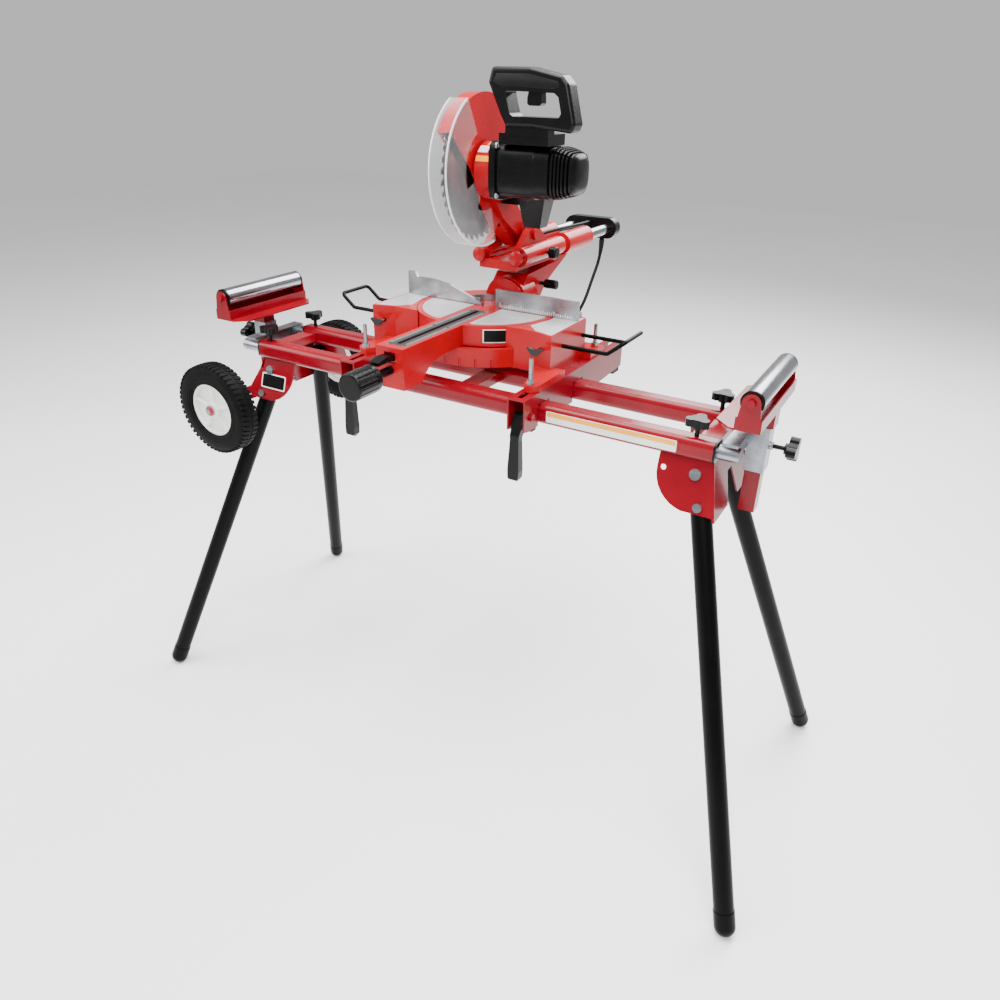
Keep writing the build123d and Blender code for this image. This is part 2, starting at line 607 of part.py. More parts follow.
def kerf_plate():
    """Flat two-sided insert with the saw slot down its middle."""
    plate = block(SAW_X - KERF_HALF + 0.3, SAW_X + KERF_HALF - 0.3, KERF_Y[0] + 0.3, KERF_Y[1] - 0.3,
                  TABLE_Z - 4, TABLE_Z)
    return plate - block(SAW_X - 4.5, SAW_X + 4.5, KERF_Y[0] + 10, KERF_Y[1] - 6, TABLE_Z - 5, TABLE_Z + 1)


def mitre_lock_knob():
    """Fluted knob and stem that lock the turntable from the front of its arm."""
    knob = bar_y(SAW_X, 893, KNOB_FRONT, -272, 25)
    knob = fillet(knob.edges().filter_by(GeomType.CIRCLE), 4)
    for flute in range(16):
        angle = math.radians(22.5 * flute)
        x = SAW_X + 26.5 * math.cos(angle)
        z = 893 + 26.5 * math.sin(angle)
        knob -= bar_y(x, z, -335, -284, 2.6)
    return knob + bar_y(SAW_X, 893, -273, ARM_FRONT + 10, 8)


def detent_lever():
    """Thumb lever above the lock knob that lifts the mitre detent."""
    hinge_y = ARM_FRONT + 2.5
    side = [(hinge_y, 912), (hinge_y, 922), (ARM_FRONT - 20, 924), (ARM_FRONT - 44, 919),
            (ARM_FRONT - 44, 913), (ARM_FRONT - 18, 914)]
    return prism_x(side, SAW_X - 10, SAW_X + 10) + bar_x(hinge_y, 917, SAW_X - 10, SAW_X + 10, 5)


def work_rest(end):
    """Bent wire loop that slides out of the base to carry long work."""
    x0, x1, x2 = (108, 258, 290) if end > 0 else (mirrored_x(108), mirrored_x(258), mirrored_x(290))
    high = REST_Z + REST_RISE
    path = FilletPolyline((x0, REST_Y[0], REST_Z), (x1, REST_Y[0], REST_Z), (x2, REST_Y[0], high),
                          (x2, REST_Y[1], high), (x1, REST_Y[1], REST_Z), (x0, REST_Y[1], REST_Z), radius=9)
    return sweep(Plane(origin=path @ 0, z_dir=path % 0) * Circle(WIRE_R), path)


def bevel_arm():
    """Neck casting on the bevel pivot, with two sleeves that guide the slide tubes."""
    y0, y1 = BEVEL_Y
    neck = bar_y(SAW_X, TABLE_Z, y0, y1, 50)
    side = [(y0, 925), (y0, 962), (y0 + 26, 988), (352, 996), (360, TUBE_Z - 4), (468, TUBE_Z - 4),
            (468, 1014), (402, 1004), (344, 978), (296, 956), (262, 920)]
    neck += prism_x(side, SAW_X - 38, SAW_X + 38, radius=4)
    for x in TUBE_X:
        neck += bar_y(x, TUBE_Z, SLEEVE_Y[0], SLEEVE_Y[1], 23.5)
    for x in TUBE_X:
        neck -= bar_y(x, TUBE_Z, SLEEVE_Y[0] - 1, SLEEVE_Y[1] + 1, TUBE_R + FIT)
    neck -= bar_y(SAW_X, TABLE_Z, y0 - 1, y1 + 1, 9 + FIT)
    return neck - bar_x(272, 960, -12, 10, STUD_R + FIT)


def bevel_lock_knob():
    """Small lever knob on the right of the neck that locks the tilt."""
    knob = bar_x(272, 960, 4, 34, 10)
    knob = fillet(knob.edges().filter_by(GeomType.CIRCLE), 3)
    return knob + bar_x(272, 960, -11, 5, STUD_R)


def slide_tubes():
    """The two polished tubes that the head rides on."""
    return [pipe((x, TUBE_Y[0], TUBE_Z), (x, TUBE_Y[1], TUBE_Z), TUBE_R, TUBE_R - 2.5) for x in TUBE_X]


def tube_end_cap():
    """Moulded cap that joins the rear ends of the slide tubes and holds the cord's exit."""
    plane = Plane(origin=(SAW_X, END_CAP_Y[0], TUBE_Z), x_dir=(1, 0, 0), z_dir=(0, 1, 0))
    cap = extrude(plane * RectangleRounded(138, 48, 23), END_CAP_Y[1] - END_CAP_Y[0])
    cap = fillet(cap.faces().sort_by(Axis.Y)[-1].edges(), 6)
    for x in TUBE_X:
        cap -= bar_y(x, TUBE_Z, END_CAP_Y[0] - 1, TUBE_Y[1], TUBE_R)
    relief_top = Vector(*CORD_ROUTE[0]) + (Vector(*CORD_ROUTE[0]) - Vector(*CORD_ROUTE[1])).normalized() * 16
    relief = rod(CORD_ROUTE[0], relief_top, 6)
    return cap + relief


def slide_carriage():
    """Casting on the front of the tubes with two ears, and the chop pivot pin in them."""
    y0, y1 = CARRIAGE_Y
    body = block(TUBE_X[0], TUBE_X[1], y0, y1, 1006, 1024)
    for x in TUBE_X:
        body += bar_y(x, TUBE_Z, y0 + 12, y1, 19)
        body -= bar_y(x, TUBE_Z, y0 - 1, y1 + 1, TUBE_R)
    for x0 in (SAW_X - 45, SAW_X + 31):
        ear = prism_x([(y0 + 4, 1020), (y0 + 10, 1046), (CHOP_Y - 20, CHOP_Z + 12), (CHOP_Y + 20, CHOP_Z + 12),
                       (y1 - 50, 1044), (y1 - 30, 1020)], x0, x0 + 14)
        ear += bar_x(CHOP_Y, CHOP_Z, x0, x0 + 14, 23)
        for x in TUBE_X:
            ear -= bar_y(x, TUBE_Z, y0 - 1, y1 + 1, TUBE_R)
        body += ear
    pin_x0 = SAW_X - 51
    pin_x1 = SAW_X + 51
    body -= bar_x(CHOP_Y, CHOP_Z, pin_x0 - 1, pin_x1 + 1, 8)
    body -= bar_x(SLIDE_KNOB_Y, TUBE_Z, TUBE_X[1] + TUBE_R, 30, STUD_R + FIT)
    pin = bar_x(CHOP_Y, CHOP_Z, pin_x0, pin_x1, 8)
    pin += bar_x(CHOP_Y, CHOP_Z, SAW_X + 45, pin_x1, 12)
    pin += bar_x(CHOP_Y, CHOP_Z, pin_x0, SAW_X - 45, 12)
    return [body, pin]


def slide_lock_knob():
    """Thumb knob on the carriage that clamps the right slide tube."""
    knob = bar_x(SLIDE_KNOB_Y, TUBE_Z, 24, 42, 12)
    knob = fillet(knob.edges().filter_by(GeomType.CIRCLE), 3)
    return knob + bar_x(SLIDE_KNOB_Y, TUBE_Z, TUBE_X[1] + TUBE_R + 0.5, 25, STUD_R)


def head_lead():
    """The lead clipped between the slide tubes, from the carriage to the end cap."""
    route = [(-50, 256, 1028), (-50, 290, 1040), (-50, 350, 1050), (-48, 430, 1049), (-46, 520, 1046), (-46, 603, 1044)]
    return cord_tube(route)


def upper_guard():
    """Fixed hood, gear housing and swing arm in one casting."""
    x0, x1 = HOOD_X
    hood = bar_x(BLADE_Y, BLADE_Z, x0, x1, HOOD_R)
    front = [(27, 1207), (-51, 1284), (-95, 1322), (-200, 1335), (-200, 950), (300, 950), (192, 1048), (150, 1082),
             (128, 1104), (102, 1082), (85, 1112), (63, 1141), (37, 1194)]
    hood -= prism_x(front, x0 - 1, x1 + 1)
    arm = [(51, 1221), (75, 1172), (110, 1122), (150, 1082), (200, 1046), (CHOP_Y, 1047), (CHOP_Y + 24, 1071),
           (CHOP_Y + 10, 1094), (190, 1140), (150, 1212)]
    hood += prism_x(arm, x0, x1)
    hood -= bar_x(BLADE_Y, BLADE_Z, x0 + 4, x1 - 4, HOOD_R - 2.5)
    hood += bar_x(CHOP_Y, CHOP_Z, SAW_X - 29, SAW_X + 29, 23)
    hood += bar_x(BLADE_Y, BLADE_Z, x1 - 5, MOTOR_X[0] - 10, 30)
    hood += bar_x(BLADE_Y, BLADE_Z, -24, MOTOR_X[0], 50)
    link = [(85, 1160), (130, 1110), (190, 1070), (215, 1092), (160, 1150), (120, 1200)]
    hood += prism_x(link, x1 - 0.5, -20.5) - bar_x(BLADE_Y, BLADE_Z, x1 - 1, -25, 42)
    hood -= bar_x(CHOP_Y, CHOP_Z, SAW_X - 40, SAW_X + 40, 8 + FIT)
    hood -= bar_x(BLADE_Y, BLADE_Z, x0 - 1, MOTOR_X[0] - 6, ARBOR_R + FIT)
    return hood - bar_x(BLADE_Y, BLADE_Z, x0 - 1, x1 - 4, 27)


def sector(x0, x1, inner, outer, start, end):
    """A ring sector about the blade's axis, between two angles in the (y, z) plane."""
    ring = bar_x(BLADE_Y, BLADE_Z, x0, x1, outer) - bar_x(BLADE_Y, BLADE_Z, x0, x1, inner)
    reach = 2 * outer
    points = [(BLADE_Y, BLADE_Z)]
    for step in range(7):
        angle = math.radians(start + (end - start) * step / 6)
        points.append((BLADE_Y + reach * math.cos(angle), BLADE_Z + reach * math.sin(angle)))
    return ring & prism_x(points, x0 - 1, x1 + 1)


def lower_guard():
    """Clear guard: rim band, two side plates and a hub ring round the gear housing."""
    start, end = GUARD_ANGLES
    guard = sector(-64, -26, GUARD_R - 2.5, GUARD_R, start, end)
    guard += sector(-64, -61.5, 72, GUARD_R, start, end)
    guard += sector(-28.5, -26, 72, GUARD_R, start, end)
    guard += sector(-28.5, -26, 34, 74, 205, 245)
    hub = bar_x(BLADE_Y, BLADE_Z, -28.5, -26, 40) - bar_x(BLADE_Y, BLADE_Z, -28.5, -26, 30 + 2 * FIT)
    return guard + hub


def blade():
    """Saw blade with clamp flanges, arbor and bolt, which spin together."""
    disc = bar_x(BLADE_Y, BLADE_Z, SAW_X - BLADE_HALF, SAW_X + BLADE_HALF, BLADE_R)
    disc += bar_x(BLADE_Y, BLADE_Z, SAW_X - 5, SAW_X + 5, 22)
    disc += bar_x(BLADE_Y, BLADE_Z, SAW_X - 12, SAW_X, 9)
    return disc + bar_x(BLADE_Y, BLADE_Z, SAW_X, MOTOR_X[0] - 7, ARBOR_R)


def motor_housing():
    """Motor body with a bolted flange and a finned end cap."""
    x0, x1, x2 = MOTOR_X
    plane = Plane(origin=(x0, BLADE_Y + 2, BLADE_Z + 4), x_dir=(0, 1, 0), z_dir=(1, 0, 0))
    flange = extrude(plane * RectangleRounded(108, 104, 30), 12)
    body = extrude(plane * RectangleRounded(96, 92, 28), x1 - x0)
    body = fillet(body.faces().sort_by(Axis.X)[-1].edges(), 5)
    cap_plane = Plane(origin=(x1 - 8, BLADE_Y + 2, BLADE_Z + 4), x_dir=(0, 1, 0), z_dir=(1, 0, 0))
    cap = extrude(cap_plane * RectangleRounded(94, 90, 34), x2 - x1 + 8)
    cap = fillet(cap.faces().sort_by(Axis.X)[-1].edges(), 14)
    for fin in range(4):
        x = x1 + 4 + fin * 8
        groove = extrude(Plane(origin=(x, BLADE_Y + 2, BLADE_Z + 4), x_dir=(0, 1, 0), z_dir=(1, 0, 0))
                         * (Rectangle(120, 120) - RectangleRounded(84, 80, 32)), 4)
        cap -= groove
    return flange + body + cap


def d_handle():
    """D-shaped handle whose grip runs across the saw, on a neck above the motor."""
    rim = [(11, 1350), (18, 1374), (92, 1374), (152, 1362), (164, 1350), (180, 1290), (174, 1276),
           (96, 1283), (47, 1282), (36, 1300)]
    handle = prism_y(rim, 11, 49, radius=8)
    handle = fillet(handle.faces().sort_by(Axis.Y)[0].edges() + handle.faces().sort_by(Axis.Y)[-1].edges(), 7)
    window = [(46, 1338), (140, 1336), (148, 1330), (154, 1306), (150, 1299), (62, 1299), (56, 1303)]
    handle -= prism_y(window, 5, 55, radius=3)
    handle -= block(82, 114, 21, 39, 1330, 1351)
    handle += block(44, 128, 18, 42, 1268, 1290)
    return handle + block(30, 128, 20, 84, BLADE_Z + 50, 1272)


def trigger():
    """Finger trigger under the grip."""
    side = [(88, 1344), (84, 1328), (84, 1319), (88, 1316), (108, 1316), (112, 1320), (110, 1344)]
    return prism_y(side, 21.5, 38.5)


def dust_port():
    """Tapered sawdust outlet behind the motor flange."""
    top = Pos(46, 138, 1160) * Rectangle(60, 44)
    bottom = Pos(40, 150, 1098) * Rectangle(36, 30)
    inner_top = Pos(46, 138, 1157) * Rectangle(54, 38)
    inner_bottom = Pos(40, 150, 1097) * Rectangle(31, 25)
    port = loft([top, bottom]) - loft([inner_top, inner_bottom])
    return port + block(-20.5, 18, 120, 156, 1140, 1158)


# ---------------------------------------------------------------- cord pieces
def cord_tube(route):
    """A round cord along straight runs joined by tangent arcs as large as the runs allow."""
    points = [Vector(*p) for p in route]
    radii = []
    for before, here, after in zip(points, points[1:], points[2:]):
        turn = math.radians((here - before).get_angle(after - here))
        shorter = min((here - before).length, (after - here).length)
        radii.append(0.45 * shorter / math.tan(turn / 2))
    path = FilletPolyline(*route, radius=radii)
    tube = sweep(Plane(origin=path @ 0, z_dir=path % 0) * Circle(CORD_R), path)
    section = math.pi * CORD_R ** 2
    print("cord: length %.1f, radii %s, volume ratio %.4f" % (
        path.length, [round(r) for r in radii], tube.volume / (section * path.length)))
    return tube


def cord_coil():
    """Outer shape of the put-away turns of the cord, lying on the left mount's tail."""
    x, y = COIL_CENTRE
    ring = bar_z(x, y, COIL_Z[0], COIL_Z[1], COIL_R[1]) - bar_z(x, y, COIL_Z[0], COIL_Z[1], COIL_R[0])
    return fillet(ring.edges().filter_by(GeomType.CIRCLE), 5)


def plug():
    """Moulded two-pin plug with a tapered strain relief, lying across the coil."""
    x = PLUG_X
    y = COIL_CENTRE[1]
    z = COIL_Z[1] + 12
    body = fillet(block(x - 16, x + 16, y - 40, y - 2, z - 12, z + 12).edges(), 4)
    relief = bar_y(x, z - 4, y - 3, y + 24, 5.5)
    pins = block(x - 8, x - 6.4, y - 56, y - 40, z - 3.2, z + 3.2)
    pins += block(x + 6.4, x + 8, y - 56, y - 40, z - 3.2, z + 3.2)
    return body + relief + pins


# ---------------------------------------------------------------- the whole machine
def all_nodes():
    """Every node's name and its solids, as drawn about the stand's middle."""
    nodes = {
        "rail_frame": [rail_frame()],
        "leg_brackets": [leg_bracket(-1), leg_bracket(1)],
        "wheel_axle": [bar_y(AXLE_X, AXLE_Z, -AXLE_HALF, AXLE_HALF, AXLE_R)],
        "rail_bushes": rail_bushes(),
    }
    bolts = []
    for end, end_name in ((-1, "left"), (1, "right")):
        legs = leg(end)
        latch = latch_plunger(end)
        bolts += front_and_rear(leg_bolt(end))
        nodes["leg_front_" + end_name] = legs
        nodes["leg_rear_" + end_name] = [front_and_rear(piece)[1] for piece in legs]
        nodes["leg_latch_front_" + end_name] = [latch]
        nodes["leg_latch_rear_" + end_name] = [front_and_rear(latch)[1]]
        nodes["extension_arm_" + end_name] = [extension_arm(end)]
        nodes["roller_stand_" + end_name] = roller_stand(end)
        nodes["roller_" + end_name] = [roller(end)]
        nodes["receiver_knob_" + end_name] = [receiver_knob(end)]
        x = CLAMP_X[0] if end < 0 else CLAMP_X[1]
        nodes["clamp_knob_front_" + end_name] = [clamp_knob(x, -1)]
        nodes["clamp_knob_rear_" + end_name] = [clamp_knob(x, 1)]
        mount_x = MOUNT_X[0] if end < 0 else MOUNT_X[1]
        nodes["mount_bracket_" + end_name] = mount_bracket(mount_x)
        nodes["mount_lever_" + end_name] = [mount_lever(mount_x)]
        nodes["work_rest_" + end_name] = [work_rest(end)]
    nodes["leg_pivot_bolts"] = bolts
    tyre, hub = wheel_parts()
    nodes["tyre_front"] = [tyre]
    nodes["wheel_hub_front"] = [hub]
    nodes["tyre_rear"] = [mirror(tyre, about=Plane.XZ)]
    nodes["wheel_hub_rear"] = [mirror(hub, about=Plane.XZ)]
    nodes["mount_feet"] = mount_feet()
    nodes["saw_base"] = [saw_base()]
    nodes["saw_base_fasteners"] = saw_fasteners()
    nodes["fence"] = [fence()]
    nodes["turntable"] = [turntable()]
    nodes["kerf_plate"] = [kerf_plate()]
    nodes["mitre_lock_knob"] = [mitre_lock_knob()]
    nodes["mitre_detent_lever"] = [detent_lever()]
    nodes["bevel_arm"] = [bevel_arm()]
    nodes["bevel_lock_knob"] = [bevel_lock_knob()]
    nodes["slide_tubes"] = slide_tubes()
    nodes["tube_end_cap"] = [tube_end_cap()]
    nodes["slide_carriage"] = slide_carriage()
    nodes["slide_lock_knob"] = [slide_lock_knob()]
    nodes["head_lead"] = [head_lead()]
    nodes["upper_guard"] = [upper_guard()]
    nodes["lower_guard"] = [lower_guard()]
    nodes["blade"] = [blade()]
    nodes["motor_housing"] = [motor_housing()]
    nodes["d_handle"] = [d_handle()]
    nodes["trigger"] = [trigger()]
    nodes["dust_port"] = [dust_port()]
    nodes["power_cord"] = [cord_tube(CORD_ROUTE)]
    nodes["cord_coil"] = [cord_coil()]
    nodes["plug"] = [plug()]
    return nodes


def solids_of(shapes):
    """All solids in a list of shapes."""
    found = []
    for shape in shapes:
        found.extend(shape.solids())
    return found


def write_parts():
    """Write one STEP file for each node, with the origin under the machine's middle."""
    os.makedirs("parts", exist_ok=True)
    for name, shapes in all_nodes().items():
        placed = Compound(children=[Pos(*ORIGIN_SHIFT) * solid for solid in solids_of(shapes)])
        export_step(placed, os.path.join("parts", name + ".step"))


write_parts()
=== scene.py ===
"""Looks for a sliding mitre saw on a folding wheeled stand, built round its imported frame.

Sizes are in millimetres about the stand's middle, as on a workshop drawing, and at() turns them
into the frame's metres.
"""

import logging
import math
from dataclasses import dataclass, field
from enum import Enum
from typing import Iterable, Sequence

import bmesh
import bpy
from mathutils import Matrix, Vector


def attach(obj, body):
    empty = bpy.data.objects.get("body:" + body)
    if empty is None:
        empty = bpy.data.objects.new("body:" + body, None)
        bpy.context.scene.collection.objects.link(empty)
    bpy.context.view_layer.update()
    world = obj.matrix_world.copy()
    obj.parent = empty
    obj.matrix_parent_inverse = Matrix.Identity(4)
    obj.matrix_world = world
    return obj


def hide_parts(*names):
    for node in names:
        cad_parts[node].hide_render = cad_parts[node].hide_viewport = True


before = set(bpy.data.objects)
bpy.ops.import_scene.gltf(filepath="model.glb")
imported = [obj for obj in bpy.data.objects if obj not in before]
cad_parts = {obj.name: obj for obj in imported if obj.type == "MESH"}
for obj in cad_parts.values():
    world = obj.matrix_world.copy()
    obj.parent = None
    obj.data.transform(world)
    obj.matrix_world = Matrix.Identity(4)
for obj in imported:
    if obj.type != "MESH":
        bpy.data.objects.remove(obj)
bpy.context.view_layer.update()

LOG = logging.getLogger("mitre_saw")
SHIFT_Y = -149.0  # from the drawing's middle to the frame's, in millimetres
MM = 0.001
SAW_X = -45.0  # the blade's line across the stand, in millimetres
FULL_TURN = 2 * math.pi
Point = tuple[float, float, float]
Socket = bpy.types.NodeSocket
Mesh = bmesh.types.BMesh


def at(x: float, y: float, z: float) -> Vector:
    """Turn a drawing point into a frame point.

    Args:
        x: millimetres to the right of the stand's middle.
        y: millimetres behind the stand's middle.
        z: millimetres above the floor.

    Returns:
        The point in metres.
    """
    return Vector((x * MM, (y + SHIFT_Y) * MM, z * MM))


def side_name(side: int) -> str:
    """Name the side that -1 or 1 stands for.

    Args:
        side: -1 for the left, 1 for the right.

    Returns:
        The word for it.
    """
    return "left" if side < 0 else "right"


# ---------------------------------------------------------------- finishes
SPECK_SIZE = 0.13  # worn specks against fine marks, in cells a metre
COAT_ROUGHNESS = 0.08


class Grain(Enum):
    """The way the fine marks of a surface run, as noise scales along X, Y and Z."""

    EVEN = (1.0, 1.0, 1.0)
    ALONG_X = (0.04, 1.0, 1.0)
    ALONG_Y = (1.0, 0.04, 1.0)
    ALONG_Z = (1.0, 1.0, 0.04)


class NodeSheet:
    """A material's node tree, with short calls for the nodes the finishes use."""

    def __init__(self, name: str) -> None:
        """Start an empty sheet.

        Args:
            name: the material's name.
        """
        self.material = bpy.data.materials.new(name)
        self.material.use_nodes = True
        self.tree = self.material.node_tree
        self.tree.nodes.clear()
        self.output = self.tree.nodes.new("ShaderNodeOutputMaterial")
        self.shader = self.tree.nodes.new("ShaderNodeBsdfPrincipled")
        self.link(self.shader.outputs[0], self.output.inputs[0])
        self.place = self.tree.nodes.new("ShaderNodeTexCoord").outputs["Object"]

    def link(self, source: Socket, target: Socket) -> None:
        """Join two sockets.

        Args:
            source: the socket that gives.
            target: the socket that takes.
        """
        self.tree.links.new(source, target)

    def noise(self, scale: float, grain: Grain, detail: float = 4.0) -> Socket:
        """Lay a noise over the surface.

        Args:
            scale: noise cells in a metre.
            grain: the way the marks run.
            detail: octaves of noise.

        Returns:
            The noise's value socket.
        """
        mapping = self.tree.nodes.new("ShaderNodeMapping")
        mapping.inputs["Scale"].default_value = grain.value
        self.link(self.place, mapping.inputs["Vector"])
        node = self.tree.nodes.new("ShaderNodeTexNoise")
        node.inputs["Scale"].default_value = scale
        node.inputs["Detail"].default_value = detail
        self.link(mapping.outputs[0], node.inputs["Vector"])
        return node.outputs[0]

    def spread(self, value: Socket, low: float, high: float,
               start: float = 0.3, end: float = 0.7) -> Socket:
        """Map a value between two results, clamped.

        Args:
            value: the socket to map.
            low: result at start.
            high: result at end.
            start: value that gives low.
            end: value that gives high.

        Returns:
            The mapped value socket.
        """
        node = self.tree.nodes.new("ShaderNodeMapRange")
        node.clamp = True
        for key, number in (("From Min", start), ("From Max", end), ("To Min", low), ("To Max", high)):
            node.inputs[key].default_value = number
        self.link(value, node.inputs["Value"])
        return node.outputs[0]

    def blend(self, amount: Socket, first: object, second: object) -> Socket:
        """Mix two colours, each a socket or a colour.

        Args:
            amount: socket that is 0 for first and 1 for second.
            first: socket or (r, g, b).
            second: socket or (r, g, b).

        Returns:
            The mixed colour socket.
        """
        node = self.tree.nodes.new("ShaderNodeMix")
        node.data_type = "RGBA"
        self.link(amount, node.inputs["Factor"])
        for key, colour in ((6, first), (7, second)):
            if isinstance(colour, Socket):
                self.link(colour, node.inputs[key])
            else:
                node.inputs[key].default_value = (*colour, 1.0)
        return node.outputs[2]

    def math(self, operation: str, first: object, second: object) -> Socket:
        """Work out a sum, product or comparison.

        Args:
            operation: the math node's operation.
            first: socket or number.
            second: socket or number.

        Returns:
            The result's value socket.
        """
        node = self.tree.nodes.new("ShaderNodeMath")
        node.operation = operation
        for index, value in enumerate((first, second)):
            if isinstance(value, Socket):
                self.link(value, node.inputs[index])
            else:
                node.inputs[index].default_value = value
        return node.outputs[0]

    def bump(self, height: Socket, strength: float, depth: float) -> None:
        """Raise the shader's surface.

        Args:
            height: the socket that gives the height.
            strength: share of the relief that shows.
            depth: full relief in metres.
        """
        node = self.tree.nodes.new("ShaderNodeBump")
        node.inputs["Strength"].default_value = strength
        node.inputs["Distance"].default_value = depth
        self.link(height, node.inputs["Height"])
        self.link(node.outputs[0], self.shader.inputs["Normal"])

    def axis(self, index: int) -> Socket:
        """Read one coordinate of the surface point.

        Args:
            index: 0, 1 or 2 for X, Y or Z.

        Returns:
            The coordinate's socket, in metres.
        """
        node = self.tree.nodes.new("ShaderNodeSeparateXYZ")
        self.link(self.place, node.inputs[0])
        return node.outputs[index]


@dataclass(frozen=True)
class Finish:
    """A paint, metal, plastic or rubber finish.

    Args:
        name: finish name.
        dark: colour of its darker patches.
        light: colour of its lighter patches.
        rough: lowest and highest roughness.
        metal: 1 for bare metal.
        grain: the way its fine marks run.
        tone: size of colour patches, in cells a metre.
        fine: size of fine marks, in cells a metre.
        relief: bump strength.
        depth: bump depth in metres.
        coat: clear coat weight.
        gloss: how strongly it mirrors its surroundings, 0.5 for plain plastic.
        scuff: colour of small worn specks, or None.
    """

    name: str
    dark: Point
    light: Point
    rough: tuple[float, float] = (0.3, 0.5)
    metal: float = 0.0
    grain: Grain = Grain.EVEN
    tone: float = 14.0
    fine: float = 700.0
    relief: float = 0.1
    depth: float = 0.0004
    coat: float = 0.0
    gloss: float = 0.5
    scuff: Point | None = None

    def sheet(self) -> NodeSheet:
        """Build the finish's node sheet.

        Returns:
            The sheet, with its colour, roughness and relief joined up.
        """
        page = NodeSheet(self.name)
        shader = page.shader
        colour = page.blend(page.spread(page.noise(self.tone, Grain.EVEN), 0, 1), self.dark, self.light)
        marks = page.noise(self.fine, self.grain)
        rough = page.spread(marks, self.rough[0], self.rough[1])
        if self.scuff is not None:
            worn = page.noise(self.fine * SPECK_SIZE, Grain.EVEN, 9.0)
            specks = page.spread(worn, 0.0, 0.55, 0.68, 0.76)
            colour = page.blend(specks, colour, self.scuff)
        page.link(colour, shader.inputs["Base Color"])
        page.link(rough, shader.inputs["Roughness"])
        shader.inputs["Metallic"].default_value = self.metal
        shader.inputs["Coat Weight"].default_value = self.coat
        shader.inputs["Specular IOR Level"].default_value = self.gloss
        shader.inputs["Coat Roughness"].default_value = COAT_ROUGHNESS
        page.bump(marks, self.relief, self.depth)
        return page

    def build(self) -> bpy.types.Material:
        """The finish as a material."""
        return self.sheet().material


@dataclass(frozen=True)
class BandFinish(Finish):
    """A finish with a band of another colour between two places along one axis; on the kerf insert the band
    is painted shade.

    Args:
        axis: 0, 1 or 2 for X, Y or Z.
        low: where the band starts, in metres.
        high: where it ends, in metres.
        band: its colour.
    """

    axis: int = 0
    low: float = 0.0
    high: float = 0.0
    band: Point = (0.02, 0.02, 0.02)

    def build(self) -> bpy.types.Material:
        """Build the finish and lay its band over it, with no metal in the band.

        Returns:
            The banded material.
        """
        page = self.sheet()
        shader = page.shader
        place = page.axis(self.axis)
        inside = page.math("MULTIPLY", page.math("GREATER_THAN", place, self.low),
                           page.math("LESS_THAN", place, self.high))
        under = shader.inputs["Base Color"].links[0].from_socket
        page.link(page.blend(inside, under, self.band), shader.inputs["Base Color"])
        metal = page.spread(inside, self.metal, 0.0, 0.0, 1.0)
        page.link(metal, shader.inputs["Metallic"])
        return page.material


@dataclass(frozen=True)
class ClearFinish:
    """Clear moulded plastic, cloudier where it is seen edge on and lightly scuffed."""

    name: str = "clear_plastic"

    def build(self) -> bpy.types.Material:
        """Build the clear plastic.

        Returns:
            Its material.
        """
        page = NodeSheet(self.name)
        shader = page.shader
        weight = page.tree.nodes.new("ShaderNodeLayerWeight")
        weight.inputs["Blend"].default_value = 0.35
        scuffs = page.noise(260.0, Grain.EVEN, 8.0)
        haze = page.spread(scuffs, 0.0, 0.05, 0.45, 0.75)
        edge = page.spread(weight.outputs["Facing"], 0.03, 0.40, 0.25, 1.0)
        page.link(page.math("ADD", edge, haze), shader.inputs["Alpha"])
        page.link(page.blend(scuffs, (0.62, 0.64, 0.66), (0.80, 0.82, 0.83)), shader.inputs["Base Color"])
        page.link(page.spread(scuffs, 0.06, 0.16), shader.inputs["Roughness"])
        shader.inputs["Coat Weight"].default_value = 0.6
        page.bump(scuffs, 0.02, 0.0002)
        return page.material


@dataclass(frozen=True)
class FinishRack:
    """Every finish on the machine, built once."""

    red_frame: bpy.types.Material
    red_casting: bpy.types.Material
    black_steel: bpy.types.Material
    zinc: bpy.types.Material
    fasteners: bpy.types.Material
    chrome_y: bpy.types.Material
    aluminium: bpy.types.Material
    blade_steel: bpy.types.Material
    carbide: bpy.types.Material
    black_plastic: bpy.types.Material
    grip_rubber: bpy.types.Material
    white_plastic: bpy.types.Material
    hub_cap: bpy.types.Material
    tyre: bpy.types.Material
    cord: bpy.types.Material
    clear: bpy.types.Material
    guard_rim: bpy.types.Material
    kerf: bpy.types.Material
    machined: bpy.types.Material
    label_black: bpy.types.Material
    label_white: bpy.types.Material
    label_yellow: bpy.types.Material


